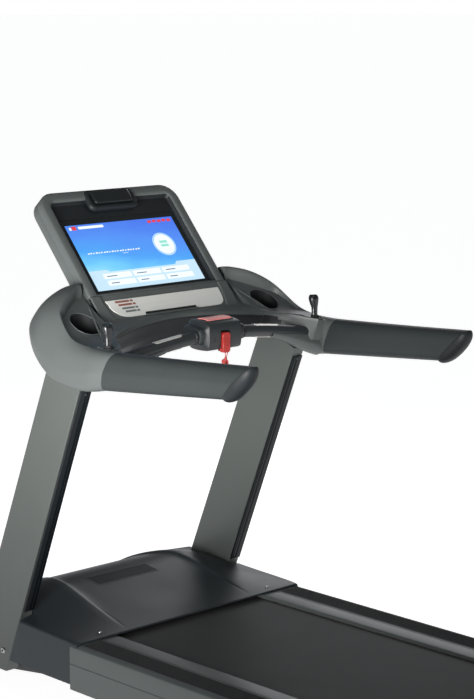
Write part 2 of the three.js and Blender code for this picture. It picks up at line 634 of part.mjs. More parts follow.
function leverParts() {
  const { x, y, z } = LEVER;
  const paddle = loft([
    [0, -6, 7, 7], [0, 14, 9.5, 7], [0, 38, 10, 7], [2, 52, 13, 10], [4, 66, 15.5, 12], [5, 75, 13.5, 10],
    [5, 79, 8, 6],
  ].map(([lean, height, wide, deep]) =>
    Array.from({ length: 12 }, (_, i) => {
      const t = (i / 12) * 2 * Math.PI;
      return v3(-x + wide * Math.cos(t), y + lean + deep * Math.sin(t), z + height);
    })));
  add("incline_lever", paddle, "dark", consoleGroup);
  add("speed_lever", mirrored(paddle), "dark", consoleGroup);
}

// --------------------------------------------------------------- the display
function displayParts() {
  const { half, top, bottom, front, back } = HOUSING;
  const shape = new THREE.Shape();
  shape.moveTo(-half, bottom);
  shape.lineTo(half, bottom);
  shape.lineTo(half, top - 60);
  shape.absarc(half - 60, top - 60, 60, 0, Math.PI / 2, false);
  shape.lineTo(-half + 60, top);
  shape.absarc(-half + 60, top - 60, 60, Math.PI / 2, Math.PI, false);
  const outside = extrude("z", shape, back, front, 8);
  const ring = (x, y0, y1, z) => [v3(-x, y0, z), v3(x, y0, z), v3(x, y1, z), v3(-x, y1, z)];
  const recess = loft([ring(219.3, -130.3, 134.3, -1), ring(223, -131, 187, front + 1)]);
  const pocket = box(-219.3, -130.3, -8, 219.3, 134.3, 0);
  const cavity = box(-254, -134, back - 1, 254, 190, -8);
  const podSeat = box(-97, 156, 8, 97, 240, 40);
  add("display_housing", cut(outside, recess, pocket, cavity, podSeat), "shell", faceGroup);
  add("display_glass", box(-219, -130, -7.7, 219, 134, 0), "glass", faceGroup);

  const bulge = (y) => (0.8 * (top - y)) / (top - bottom);
  const backRing = (z, inset) => {
    const s = roundedRect(-half + inset, bottom + inset * 0.4, half - inset, top - inset, 52);
    const depth = (y) => (z > back ? 0 : (z - back) * bulge(y));
    return s.getPoints(5).slice(0, -1).map((p) => v3(p.x, p.y, z + depth(p.y)));
  };
  const rear = loft([backRing(back - GAP, 0), backRing(-46, 4), backRing(-53, 16), backRing(-57, 40)]);
  const inner = loft([backRing(back + 2, 5), backRing(-43, 9), backRing(-50, 21), backRing(-53.5, 44)]);
  add("display_back_cover", cut(rear, inner), "dark", faceGroup);

  const panel = outline([
    [-217, -160], [217, -160], [212, -190], [196, -222], [100, -222], [96, -212], [-96, -212], [-100, -222],
    [-160, -222], [-190, -208], [-208, -184],
  ]);
  add("key_panel", extrude("z", panel, 16 + GAP, 18.3), "silver", faceGroup);
  const pod = cut(
    extrude("z", roundedRect(-94, 158, 94, 224, 18), 8 + GAP, 30),
    box(-76, 186, 22, 76, 230, 40),
  );
  add("sensor_pod", pod, "dark", faceGroup);
}

frameParts();
deckParts();
driveParts();
liftParts();
hoodParts();
uprightParts();
consoleParts();
displayParts();

export default root;
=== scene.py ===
import math

import bmesh
import bpy
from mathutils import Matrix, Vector


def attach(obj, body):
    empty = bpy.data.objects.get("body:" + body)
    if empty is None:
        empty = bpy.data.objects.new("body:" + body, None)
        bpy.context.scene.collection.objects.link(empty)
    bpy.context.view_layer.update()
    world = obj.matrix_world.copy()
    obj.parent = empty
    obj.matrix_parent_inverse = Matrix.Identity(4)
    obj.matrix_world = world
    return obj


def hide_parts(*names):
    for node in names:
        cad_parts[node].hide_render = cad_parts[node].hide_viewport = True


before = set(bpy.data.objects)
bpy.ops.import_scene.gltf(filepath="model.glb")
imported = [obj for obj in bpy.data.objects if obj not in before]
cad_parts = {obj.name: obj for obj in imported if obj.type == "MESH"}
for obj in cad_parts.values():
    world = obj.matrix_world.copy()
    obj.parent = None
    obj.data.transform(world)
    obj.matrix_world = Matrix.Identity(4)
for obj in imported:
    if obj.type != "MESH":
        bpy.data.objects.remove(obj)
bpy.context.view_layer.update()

# Lengths below are in millimetres, in the CAD's frame; make() turns them into metres.
MM = 0.001
WORD = {-1: "left", 1: "right"}
RED_CORD = 2.5  # the lanyard's diameter
SCREEN_Y, SCREEN_Z = 685, 1270  # the middle of the display
SCREEN_SLOPE = math.radians(48.9)  # its face, up from level
HALF, LOW, TOP = 262, -140, 226  # its housing's half width, and its edges down and up the slope from there
BACK = -38.2  # where the housing ends and its rear cover starts, behind the face
COS, SIN = math.cos(SCREEN_SLOPE), math.sin(SCREEN_SLOPE)


def face_point(x, v, w):
    """A point on the display's face: x across, v up its slope, w out towards the runner."""
    return (x, SCREEN_Y + v * COS - w * SIN, SCREEN_Z + v * SIN + w * COS)


def shader(name, color, rough, metal=0.0, coat=0.0, sheen=0.0, shine=0.5, emit=None):
    m = bpy.data.materials.new(name)
    m.use_nodes = True
    b = m.node_tree.nodes["Principled BSDF"]
    wire(b, Base_Color=(*color, 1), Roughness=rough, Metallic=metal, Coat_Weight=coat, Coat_Roughness=0.15,
         Sheen_Weight=sheen, Specular_IOR_Level=shine)
    if emit:
        wire(b, Emission_Color=(*emit[:3], 1), Emission_Strength=emit[3])
    return m, m.node_tree, b


def wire(n, **values):
    """Sets a node's inputs or properties, and wires in what is given as an output."""
    for key, value in values.items():
        name = key.replace("_", " ")
        if isinstance(value, bpy.types.NodeSocket):
            n.id_data.links.new(value, n.inputs[name])
        elif name in n.inputs:
            n.inputs[name].default_value = value
        else:
            setattr(n, key, value)


def node(tree, kind, **values):
    n = tree.nodes.new("ShaderNode" + kind)
    wire(n, **values)
    return n


def coordinates(tree, kind="Object"):
    return node(tree, "TexCoord").outputs[kind]


def ramp(tree, source, *stops):
    """A colour ramp over an output; each stop is a place and a colour."""
    n = node(tree, "ValToRGB", Fac=source)
    elements = n.color_ramp.elements
    for i, (at, color) in enumerate((stops[0], stops[-1])):
        elements[i].position, elements[i].color = at, (*color, 1)
    for at, color in stops[1:-1]:
        elements.new(at).color = (*color, 1)
    return n.outputs["Color"]


def relief(tree, b, height, strength, depth):
    bump = node(tree, "Bump", Strength=strength, Distance=depth, Height=height)
    wire(b, Normal=bump.outputs["Normal"])


def surface(name, color, rough, grain, bump, vary, metal=0.0, wear=0.0, shine=0.5, cells=False,
            stretch=(1, 1, 1)):
    """Plastic, paint, rubber or metal: the colour varies, a grain gives relief and wear pales edges."""
    m, tree, b = shader(name, color, rough, metal, shine=shine)
    spot = node(tree, "Mapping", Vector=coordinates(tree), Scale=stretch).outputs["Vector"]
    broad = node(tree, "TexNoise", Vector=spot, Scale=7.0, Detail=4.0).outputs["Fac"]
    tone = node(tree, "MapRange", Value=broad, From_Min=0.3, From_Max=0.7, To_Min=1 - vary, To_Max=1 + vary)
    tint = node(tree, "VectorMath", operation="SCALE", Scale=tone.outputs["Result"])
    tint.inputs[0].default_value = color
    paint = tint.outputs["Vector"]
    if wear:
        pointed = node(tree, "NewGeometry").outputs["Pointiness"]
        edge = node(tree, "MapRange", Value=pointed, From_Min=0.53, From_Max=0.62, To_Max=wear)
        mix = node(tree, "Mix", data_type="RGBA")
        mix.inputs[7].default_value = (*[min(1, c * 1.9 + 0.03) for c in color], 1)
        tree.links.new(edge.outputs["Result"], mix.inputs[0])
        tree.links.new(paint, mix.inputs[6])
        paint = mix.outputs[2]
    wire(b, Base_Color=paint)
    if cells:
        fine = node(tree, "TexVoronoi", Vector=spot, Scale=grain).outputs["Distance"]
    else:
        fine = node(tree, "TexNoise", Vector=spot, Scale=grain, Detail=3.0).outputs["Fac"]
    relief(tree, b, fine, bump, 0.0002)
    gloss = node(tree, "MapRange", Value=broad, To_Min=max(0.02, rough - 0.06), To_Max=rough + 0.08)
    wire(b, Roughness=gloss.outputs["Result"])
    return m


SHELL = surface("charcoal_shell", (0.068, 0.077, 0.076), 0.44, 1400, 0.12, 0.04, wear=0.10,
                shine=0.4)
HOOD = surface("hood_shell", (0.022, 0.027, 0.031), 0.40, 1400, 0.25, 0.05, wear=0.1,
               shine=0.22)
# A darker copy of the charcoal shell: painted shade on faces that turn down and in the display's sunken
# frame; the upright strips, the sensor pod and the grip end caps are made of it too.
DARKER_SHELL_AND_PAINTED_SHADOW = surface("darker_shell_and_painted_shadow", (0.010, 0.012, 0.014), 0.5, 1400, 0.25, 0.05, shine=0.25)
GRIP = surface("grip_rubber", (0.020, 0.024, 0.025), 0.5, 2200, 0.30, 0.05, shine=0.3,
               cells=True)
DARK = surface("satin_black", (0.020, 0.024, 0.027), 0.42, 1500, 0.25, 0.08, wear=0.1)
# Near-black plastic: partly its own black, partly painted shade inside the cup liners, slots, sockets and
# vent strips; the small lenses and sensor take it too.
NEAR_BLACK_AND_SHADOW = surface("near_black_and_painted_shadow", (0.004, 0.005, 0.006), 0.7, 1200, 0.2, 0.08, shine=0.3)
GLOSS = surface("gloss_black", (0.008, 0.010, 0.011), 0.2, 60, 0.02, 0.05)
STRIP = surface("strip_black", (0.004, 0.006, 0.008), 0.5, 1500, 0.3, 0.08, shine=0.12)
MESH_INSERT = surface("tread_insert", (0.030, 0.034, 0.037), 0.66, 700, 0.6, 0.1, cells=True)
PAINT = surface("upright_paint", (0.080, 0.089, 0.085), 0.38, 2600, 0.12, 0.03, 0.3,
                shine=0.35)
SILVER = surface("silver_panel", (0.66, 0.665, 0.64), 0.38, 1800, 0.06, 0.03, 0.2,
                 stretch=(1, 14, 14))
KEY_STRIP = surface("key_strip", (0.22, 0.075, 0.055), 0.45, 900, 0.08, 0.05)
GREY_KEY = surface("grey_key", (0.13, 0.14, 0.14), 0.45, 900, 0.08, 0.05)
STEEL = surface("turned_steel", (0.45, 0.46, 0.47), 0.28, 700, 0.1, 0.06, 1.0,
                stretch=(25, 1, 1))
CHROME = surface("polished_steel", (0.80, 0.79, 0.75), 0.36, 300, 0.03, 0.03, 0.5)
FRAME = surface("powder_coat", (0.022, 0.023, 0.025), 0.5, 1100, 0.5, 0.08, wear=0.15)
RUBBER = surface("black_rubber", (0.016, 0.016, 0.017), 0.82, 800, 0.4, 0.15)
WOOD = surface("phenolic_board", (0.10, 0.062, 0.035), 0.5, 240, 0.2, 0.25, stretch=(8, 1, 40))
ENAMEL = surface("motor_enamel", (0.035, 0.045, 0.06), 0.35, 900, 0.2, 0.06)
ALLOY = surface("cast_alloy", (0.40, 0.41, 0.42), 0.5, 500, 0.4, 0.1, 0.9)
RED = surface("signal_red", (0.85, 0.26, 0.24), 0.42, 900, 0.08, 0.05)
KEY_RED = surface("key_red", (0.40, 0.024, 0.018), 0.42, 900, 0.12, 0.06)


def belt_material():
    m, tree, b = shader("running_belt", (0.018, 0.018, 0.019), 0.72)
    spot = coordinates(tree)
    grid = node(tree, "Mapping", Vector=spot, Scale=(260, 260, 260), Rotation=(0, 0, math.radians(45)))
    weave = node(tree, "TexVoronoi", Vector=grid.outputs["Vector"], Scale=1.0, Randomness=0.12)
    relief(tree, b, weave.outputs["Distance"], 0.55, 0.0006)
    scuff = node(tree, "TexNoise", Vector=spot, Scale=3.0, Detail=7.0)
    worn = ramp(tree, scuff.outputs["Fac"], (0.35, (0.013, 0.013, 0.014)), (0.75, (0.026, 0.026, 0.027)))
    wire(b, Base_Color=worn)
    return m


def cord_material():
    m, tree, b = shader("braided_cord", (0.5, 0.03, 0.022), 0.7, sheen=0.3)
    weave = node(tree, "TexWave", Vector=coordinates(tree), Scale=420.0, Distortion=1.5,
                 bands_direction="DIAGONAL").outputs["Fac"]
    # Painted shade: the red is darkest where the weave's bands sink in the relief below.
    red = ramp(tree, weave, (0, (0.28, 0.012, 0.01)), (1, (0.62, 0.045, 0.03)))
    wire(b, Base_Color=red)
    relief(tree, b, weave, 0.6, 0.0003)
    return m


def times_plus(tree, value, factor, more):
    """value * factor + more, where value and more are outputs."""
    n = node(tree, "Math", operation="MULTIPLY_ADD")
    tree.links.new(value, n.inputs[0])
    n.inputs[1].default_value = factor
    tree.links.new(more, n.inputs[2])
    return n.outputs["Value"]


def sky_material():
    """The lit picture: pale cloud low on the left rising to a deeper blue at the upper right."""
    m, tree, b = shader("lit_sky", (0.02, 0.03, 0.05), 0.12, coat=0.5)
    spot = coordinates(tree, "Generated")
    split = node(tree, "SeparateXYZ", Vector=spot)
    slope = times_plus(tree, split.outputs["X"], 0.3, split.outputs["Z"])
    cloud = node(tree, "TexNoise", Vector=spot, Scale=3.2, Detail=5.0)
    puff = times_plus(tree, cloud.outputs["Fac"], -0.34, slope)
    blue = ramp(tree, puff, (0, (0.42, 0.80, 0.95)), (0.22, (0.16, 0.58, 0.90)), (0.45, (0.06, 0.34, 0.86)),
                (0.72, (0.07, 0.25, 0.84)), (1, (0.05, 0.16, 0.78)))
    wire(b, Emission_Color=blue, Emission_Strength=1.1)
    return m


def lit(name, color, strength=1.05):
    """One colour of the marks on the screen."""
    m, tree, b = shader(name, [c * 0.1 for c in color], 0.2, emit=(*color, strength))
    haze = node(tree, "TexNoise", Vector=coordinates(tree), Scale=25.0)
    glow = ramp(tree, haze.outputs["Fac"], (0, [c * 0.93 for c in color]), (1, color))
    wire(b, Emission_Color=glow)
    return m


BELT, CORD, SKY = belt_material(), cord_material(), sky_material()
UI_WHITE = lit("ui_white", (0.86, 0.93, 0.97))
UI_PALE = lit("ui_pale", (0.55, 0.76, 0.92))
UI_GREEN = lit("ui_green", (0.30, 0.74, 0.62))
UI_BLUE = lit("ui_blue", (0.20, 0.50, 0.95))
UI_RED = lit("ui_red", (0.75, 0.05, 0.06))
UI_INK = lit("ui_ink", (0.16, 0.26, 0.42), 0.5)


# --------------------------------------------------------------- mesh building
def make(name, verts, faces, mat, replaces=(), body="machine", bevel=0.0, segments=3, sharp=35):
    """A piece from points in millimetres, smooth but for edges past `sharp` degrees; it rides on a body."""
    me = bpy.data.meshes.new(name)
    me.from_pydata([Vector(p) * MM for p in verts], [], faces)
    bm = bmesh.new()
    bm.from_mesh(me)
    bmesh.ops.remove_doubles(bm, verts=bm.verts, dist=0.002 * MM)
    bmesh.ops.recalc_face_normals(bm, faces=bm.faces)
    bm.to_mesh(me)
    bm.free()
    me.materials.append(mat)
    me.polygons.foreach_set("use_smooth", [True] * len(me.polygons))
    ob = bpy.data.objects.new(name, me)
    bpy.context.scene.collection.objects.link(ob)
    if bevel:
        mod = ob.modifiers.new("edges", "BEVEL")
        mod.width = bevel * MM
        mod.segments = segments
        mod.limit_method = "ANGLE"
        mod.angle_limit = math.radians(sharp)
        mod.harden_normals = True
        mod.use_clamp_overlap = True
    else:
        me.set_sharp_from_angle(angle=math.radians(sharp))
    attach(ob, body)
    if replaces:
        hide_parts(*replaces)
    return ob


def loft(name, rings, mat, caps=True, closed=True, loop=False, **more):
    """A skin over rings of points: closed joins each ring's ends, loop the last ring to the first."""
    n = len(rings[0])
    verts = [p for ring in rings for p in ring]
    faces = []
    count = len(rings)
    for i in range(count if loop else count - 1):
        a, b = i * n, ((i + 1) % count) * n
        for j in range(n if closed else n - 1):
            k = (j + 1) % n
            faces.append((a + j, a + k, b + k, b + j))
    if caps and not loop:
        faces.append(tuple(range(n)))
        faces.append(tuple(range((count - 1) * n, count * n)))
    return make(name, verts, faces, mat, **more)


def both(name, build, replaces=()):
    """Builds a piece on the left (side -1) and on the right (side 1)."""
    for side, word in WORD.items():
        build(f"{name}_{word}", side, replaces=tuple(f"{stem}_{word}" for stem in replaces))


def around(n):
    """The cosine and sine of n equal steps round a circle."""
    return [(math.cos(2 * math.pi * i / n), math.sin(2 * math.pi * i / n)) for i in range(n)]


def circle(x, y, r, n):
    return [(x + r * c, y + r * s) for c, s in around(n)]


def between(points, x):
    """The height at x of a line through (x, height) points."""
    for (a, high_a), (b, high_b) in zip(points, points[1:]):
        if x <= b:
            return high_a + (high_b - high_a) * (x - a) / (b - a)
    return points[-1][1]


def rounded(x0, y0, x1, y1, r, n=6):
    """A rounded rectangle's points; r is one radius, or four from the lower right anticlockwise."""
    radii = [r] * 4 if isinstance(r, (int, float)) else r
    corners = [(x1, y0, -90, -1, 1), (x1, y1, 0, -1, -1), (x0, y1, 90, 1, -1), (x0, y0, 180, 1, 1)]
    out = []
    for (x, y, start, sx, sy), q in zip(corners, radii):
        for i in range(n + 1):
            t = math.radians(start + 90 * i / n)
            out.append((x + sx * q + q * math.cos(t), y + sy * q + q * math.sin(t)))
    return out


MAPS = {
    "x": lambda p, d: (d, *p),
    "y": lambda p, d: (p[0], d, p[1]),
    "z": lambda p, d: (*p, d),
    "f": lambda p, d: face_point(*p, d),
}


def prism(name, axis, points, a, b, mat, **more):
    """An outline carried from a to b along x, y, z, or f, which is straight out of the display's face."""
    put = MAPS[axis]
    return loft(name, [[put(p, a) for p in points], [put(p, b) for p in points]], mat, **more)


def lathe(name, profile, origin, axis, mat, n=40, **more):
    """(radius, height) pairs turned about an axis."""
    turn = Vector((0, 0, 1)).rotation_difference(Vector(axis)).to_matrix()
    rings = [[Vector(origin) + turn @ Vector((r * c, r * s, h)) for r, h in profile] for c, s in around(n)]
    return loft(name, rings, mat, caps=False, closed=False, loop=True, **more)


def tube(name, path, radius, mat, n=12, up=(0.03, 0.02, 1), closed=False, **more):
    """A round bar along a path; radius may be a function of the share of the way along."""
    points = [Vector(p) for p in path]
    last = len(points) - 1
    rings = []
    for i, p in enumerate(points):
        back, on = (i - 1, (i + 1) % len(points)) if closed else (max(i - 1, 0), min(i + 1, last))
        d = (points[on] - points[back]).normalized()
        side = d.cross(Vector(up)).normalized()
        other = side.cross(d)
        r = radius(i / last) if callable(radius) else radius
        rings.append([p + side * (r * c) + other * (r * s) for c, s in around(n)])
    return loft(name, rings, mat, caps=not closed, loop=closed, **more)


def spline(keys, steps):
    """Catmull-Rom through lists of numbers, `steps` to each span."""
    out = []
    for i in range(len(keys) - 1):
        p0, p1, p2, p3 = keys[max(i - 1, 0)], keys[i], keys[i + 1], keys[min(i + 2, len(keys) - 1)]
        for s in range(steps):
            t = s / steps
            out.append([0.5 * (2 * b + (c - a) * t + (2 * a - 5 * b + 4 * c - d) * t * t
                               + (3 * b - 3 * c + d - a) * t ** 3) for a, b, c, d in zip(p0, p1, p2, p3)])
    out.append(list(keys[-1]))
    return out


def carve(ob, cutter):
    """Cuts one piece out of another and removes the cutter."""
    bpy.context.view_layer.update()
    mod = ob.modifiers.new("carve", "BOOLEAN")
    mod.operation = "DIFFERENCE"
    mod.solver = "EXACT"
    mod.object = cutter
    graph = bpy.context.evaluated_depsgraph_get()
    mesh = bpy.data.meshes.new_from_object(ob.evaluated_get(graph))
    ob.modifiers.remove(mod)
    ob.data = mesh
    bpy.data.objects.remove(cutter)
    mesh.set_sharp_from_angle(angle=math.radians(35))


def screw(name, at, axis, r, mat=STEEL):
    """A small domed screw head with a socket."""
    profile = [(0, -0.6), (0.45 * r, -0.6), (0.5 * r, 0.42 * r), (0.8 * r, 0.38 * r), (r, 0.08 * r),
               (r, -1.2), (0, -1.2)]
    lathe(name, profile, at, axis, mat, n=18)


# ---------------------------------------------------------- camera and lanyard
camera = bpy.data.objects.new("camera", bpy.data.cameras.new("camera"))
bpy.context.scene.collection.objects.link(camera)
camera.location = Vector((-3792.9, -3742.6, 1977.9)) * MM
camera.rotation_euler = Vector((0.6785, 0.715, -0.1685)).to_track_quat("-Z", "Y").to_euler()
camera.data.sensor_width = 36
camera.data.lens = 103.0
camera.data.clip_end = 900
bpy.context.scene.camera = camera

KEY_X, KEY_Y = -1, 303  # the key hangs in the pod's near face
HANK_BEND = 7.4
HANK_TOP, HANK_LOW = 993.8, 945.8  # the centres of the hank's two folds
HANK_TURNS, HANK_PITCH = 5, 2.62


def lanyard_route():
    """Down from the key through the bead, then wound up and down into a hank, row behind row."""
    points = [(KEY_X, KEY_Y - 2, 1021.5), (KEY_X, KEY_Y - 2.4, 1014.0), (KEY_X - 1, KEY_Y - 3.4, 1007.0)]
    steps = 28
    for i in range(HANK_TURNS * steps + 1):
        share = i / steps
        y = 296.4 + share * HANK_PITCH
        t = (share % 1) * 4
        if t < 1:
            x, z = -HANK_BEND, HANK_TOP - (HANK_TOP - HANK_LOW) * t
        elif t < 2:
            turn = math.pi * (t - 1)
            x, z = -HANK_BEND * math.cos(turn), HANK_LOW - HANK_BEND * math.sin(turn)
        elif t < 3:
            x, z = HANK_BEND, HANK_LOW + (HANK_TOP - HANK_LOW) * (t - 2)
        else:
            turn = math.pi * (t - 3)
            x, z = HANK_BEND * math.cos(turn), HANK_TOP + HANK_BEND * math.sin(turn)
        points.append((x, y, z))
    return points


def lanyard():
    points = [Vector(p) * MM for p in lanyard_route()]
    data = bpy.data.curves.new("lanyard", "CURVE")
    data.dimensions = "3D"
    line = data.splines.new("POLY")
    line.points.add(len(points) - 1)
    for p, q in zip(line.points, points):
        p.co = (*q, 1)
    data.bevel_depth = RED_CORD * MM / 2
    data.bevel_resolution = 4
    data.use_fill_caps = True
    data.materials.append(CORD)
    cord = bpy.data.objects.new("lanyard", data)
    bpy.context.scene.collection.objects.link(cord)
    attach(cord, "key_and_lanyard")
    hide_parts("lanyard_cord", "lanyard_hank")
    second_leg = [(KEY_X + x, KEY_Y + y, z)
                  for x, y, z in ((9, -2, 1021.5), (5.5, -2.6, 1013), (1.5, -3.4, 1006))]
    loop = tube("lanyard_loop", second_leg, RED_CORD / 2, CORD, n=10, body="key_and_lanyard")
    profile = [(0, -4.2), (2.6, -4.2), (3.6, -2.8), (4, 0), (3.6, 2.8), (2.6, 4.2), (0, 4.2)]
    bead = lathe("lanyard_bead", profile, (KEY_X, KEY_Y - 3.4, 1004.5), (0, 0, 1), KEY_RED, n=24,
                 body="key_and_lanyard")
    band = [[(x, y, z) for x, y in rounded(-9.6, 294.3, 9.6, 311.4, 3, 4)] for z in (966, 966.6, 971.4, 972)]
    tie = loft("lanyard_tie", band, RUBBER, body="key_and_lanyard", bevel=0.4)


lanyard()


# ---------------------------------------------------------------- the console
# Stations along the ring's left half, from the grip to the display: crest, underside and outermost point.
RIM = [
    ((-423, 267.6, 1076), (-423, 309.6, 967), (-461, 288.6, 1021.5)),
    ((-429, 330, 1076), (-429, 346, 961), (-467, 338, 1014)),
    ((-436, 393, 1080), (-436, 385, 960), (-466, 390, 1008)),
    ((-438, 453, 1096), (-436, 440, 970), (-466, 458, 1008)),
    ((-420, 520, 1147), (-434, 508, 992), (-465, 530, 1034)),
    ((-390, 549, 1176), (-412, 556, 1032), (-460, 592, 1076)),
    ((-350, 576, 1198), (-376, 602, 1070), (-424, 642, 1116)),
    ((-305, 604, 1210), (-320, 632, 1084), (-345, 674, 1138)),
    ((-277, 612, 1212), (-277, 634, 1088), (-277, 676, 1144)),
]
# At each station, the inner side's width as a share of the outer side's.
RIM_WALL = (0.8, 0.75, 0.5, 0.32, 0.25, 0.25, 0.3, 0.35, 0.4)
TRAY_SLOPE = math.tan(math.radians(30))
TRAY_BEND = 445  # on the user's side of this y the trays are nearly level
CUP_X, CUP_Y, CUP_Z, CUP_R = 345, 500, 1117, 42  # a cup well's middle, at the tray's surface, and its radius


def tray_z(y):
    """The tray's height: it slopes with the console, and less on the user's side of TRAY_BEND."""
    if y < TRAY_BEND:
        return tray_z(TRAY_BEND) - (TRAY_BEND - y) * 0.10
    return CUP_Z + (y - CUP_Y) * TRAY_SLOPE


def mirror(points, side):
    return [(x if side < 0 else -x, y, z) for x, y, z in points]


def rim_ring(station):
    """The ring's section from its crest, underside and outermost point and its inner wall's width."""
    crest, under, outer = (Vector(station[i:i + 3]) for i in (0, 3, 6))
    centre = (crest + under) / 2
    return banded_ring(centre, crest - centre, outer - centre, station[9])


def banded_ring(centre, up, out, inner=0.8):
    """A section with two flat bands outside, which meet in a crease, and a wall `inner` as wide inside."""
    ring = []
    for c, s in around(88):
        tall = abs(s) ** 0.92
        crease = math.hypot(tall, 0.10) - 0.10
        band = (1 - 0.29 * crease) * (1 - tall ** 5) ** 0.45
        across = band if c > 0 else -inner * (1 - tall ** 4) ** 0.5
        ring.append(centre + out * across + up * math.copysign(tall, s))
    return ring


# The trays' edges in plan, from the display outwards: on the user's side and along the ring.
TRAY_NEAR = [(-276.4, 431), (-296, 420), (-314, 403), (-330, 383), (-345, 360), (-359, 334), (-378, 306)]
TRAY_FAR = [(-276.4, 625), (-345, 603), (-392, 568), (-426, 520), (-436, 455), (-436, 390), (-428, 300)]
# A shell's near face below its edge: how far it falls back, and how far down it is.
NEAR_FACE = [(22, -60), (19, -48), (13, -34), (5, -22), (0, -12), (0.6, -7), (3, -2.6), (8, 0), (16, 0.6)]


def tray_floor(name, side):
    """The tray between the display's foot and the ring; its near edge rolls over and runs down to the bar."""
    rings = []
    for i, ((nx, ny), (fx, fy)) in enumerate(zip(spline(TRAY_NEAR, 5), spline(TRAY_FAR, 5))):
        out = min(1, i / 18)  # further along, the face leans out over the bar instead of falling back
        edge_z = tray_z(ny) + 4 + 9 * max(0, 1 - i / 30)
        length = math.hypot(fx - nx, fy - ny)
        ux, uy = (fx - nx) / length, (fy - ny) / length
        ring = []
        for inward, drop in NEAR_FACE:
            along = inward * (1 - out) + out * 0.3 * min(0, drop + 3)
            ring.append((nx + ux * along, ny + uy * along, max(1000, edge_z + drop)))
        for k in (0.25, 0.5, 0.75, 1.0):
            x, y = nx + (fx - nx) * k, ny + (fy - ny) * k
            ring.append((x, y, tray_z(y)))
        ring.append((fx, fy, tray_z(fy) - 30))
        ring.append((nx + ux * 8, ny + uy * 8, max(1002, edge_z - 64)))
        rings.append(mirror(ring, side))
    return paint_shadow_below(loft(name, rings, SHELL, sharp=40))


def paint_shadow_below(ob):
    """Painted shade: a shell's faces that turn down take the darker material."""
    ob.data.materials.append(DARKER_SHELL_AND_PAINTED_SHADOW)
    for p in ob.data.polygons:
        if p.normal.z < -0.08:
            p.material_index = 1
    return ob


def cup_well(side):
    """The drill for a cup's well."""
    profile = [(0, -75), (CUP_R, -75), (CUP_R + 1.2, 60), (0, 60)]
    return lathe("well", profile, (CUP_X * side, CUP_Y, CUP_Z), (0, 0, 1), NEAR_BLACK_AND_SHADOW, n=48)


def cup(side):
    """A cup's liner, whose lip follows the tray's slope, and the bead round it."""
    liner = []
    for c, s in around(56):
        lip = tray_z(CUP_Y + CUP_R * s) - CUP_Z
        profile = [(42, -74), (42.3, -30), (42.6, lip), (40.8, lip + 0.3), (40.4, -30), (40, -68), (36, -72),
                   (0, -72), (0, -75)]
        liner.append([(CUP_X * side + r * c, CUP_Y + r * s, CUP_Z + h) for r, h in profile])
    loft("cup_liner_" + WORD[side], liner, NEAR_BLACK_AND_SHADOW, caps=False, loop=True, sharp=50)
    bead = [(x, y, tray_z(y) + 0.4) for x, y in circle(CUP_X * side, CUP_Y, CUP_R + 1.2, 72)]
    tube("cup_rim_" + WORD[side], bead, 1.7, SHELL, n=8, up=(0, 0, 1), closed=True)


def console_arm(name, side, **more):
    keys = [tuple(a) + tuple(b) + tuple(c) + (w,) for (a, b, c), w in zip(RIM, RIM_WALL)]
    arm = loft(name, [mirror(rim_ring(k), side) for k in spline(keys, 6)], SHELL, sharp=20, **more)
    tray = tray_floor("tray_" + WORD[side], side)
    for shell in (tray, arm):
        carve(shell, cup_well(side))
    cup(side)


both("ring_shell", console_arm, replaces=("console_arm",))


def bar_centre(x):
    share = abs(x) / 370
    return (x, 333 + 6 * share, 1073 - 40 * share ** 1.6)


def bar_section(x, r, low=-math.pi, high=math.pi, n=28, thick=0.0):
    """The bar's outline at x, or the outline of a sleeve `thick` on part of it."""
    _, y, z = bar_centre(x)
    turns = [low + (high - low) * i / n for i in range(n + (1 if thick else 0))]
    outer = [(x, y + (r + thick) * math.cos(t), z + (r + thick) * math.sin(t)) for t in turns]
    if not thick:
        return outer
    return outer + [(x, y + r * math.cos(t), z + r * math.sin(t)) for t in reversed(turns)]


def crossbar():
    xs = [-374 + 748 * i / 60 for i in range(61)]
    loft("crossbar_tube", [bar_section(x, 18) for x in xs], DARK, replaces=("crossbar",), sharp=60)
    for side, word in WORD.items():
        for x0, x1, tag in ((366, 373, "socket"), (89, 96, "collar")):
            xs = [side * (x0 + (x1 - x0) * i / 3) for i in range(4)]
            rings = [bar_section(x, 18.1, thick=t, n=36) for x, t in zip(xs, (0.6, 2.2, 2.2, 0.6))]
            loft(f"bar_{tag}_{word}", rings, DARK, sharp=60)
        for at, tag, nodes in ((90, "top", ("pulse_plate_" + word,)), (-82, "low", ())):
            rings = []
            for i in range(15):
                x, half = side * (139 + 98 * i / 14), 34 * (0.55 if i in (0, 14) else 1)
                low, high = math.radians(at) - math.radians(half), math.radians(at) + math.radians(half)
                rings.append(bar_section(x, 18.05, low, high, n=12, thick=1.5))
            loft(f"pulse_plate_{tag}_{word}", rings, CHROME, replaces=nodes, sharp=50, bevel=0.3)


def fairing(name, side, **more):
    """The moulding under the bar's outer end: (x, drop, depth, height) stations from its tip to the ring."""
    stations = [(-205, 1, 18.6, 18.4), (-235, 4, 19.5, 18.6), (-270, 9, 22, 21), (-320, 18, 27, 29),
                (-365, 24, 31, 36), (-400, 26, 33, 40)]
    rings = []
    for x, drop, deep, tall in spline(stations, 5):
        _, y, z = bar_centre(x)
        ring = []
        for i in range(21):
            t = math.pi + math.pi * i / 20
            ring.append((x, y + deep * math.cos(t), z - 6 - drop * 0.9 + (tall - 4) * math.sin(t)))
        for i in range(21):
            t = -math.pi * i / 20
            ring.append((x, y + 18.3 * math.cos(t), z - 1 + min(0, -5 + 12.5 * math.sin(t))))
        rings.append(mirror(ring, side))
    loft(name, rings, SHELL, sharp=50, **more)
    _, y, z = bar_centre(-232)
    screw("fairing_screw_" + WORD[side], (232 * side, y - 15, z - 13.5), (0, -0.72, -0.69), 3.4)


crossbar()
both("bar_fairing", fairing)


def ridge(x):
    """The console's near edge at x: its y and z."""
    share = abs(x) / 276
    return 504 - 72 * share ** 1.7, 1110 - 14 * share ** 2


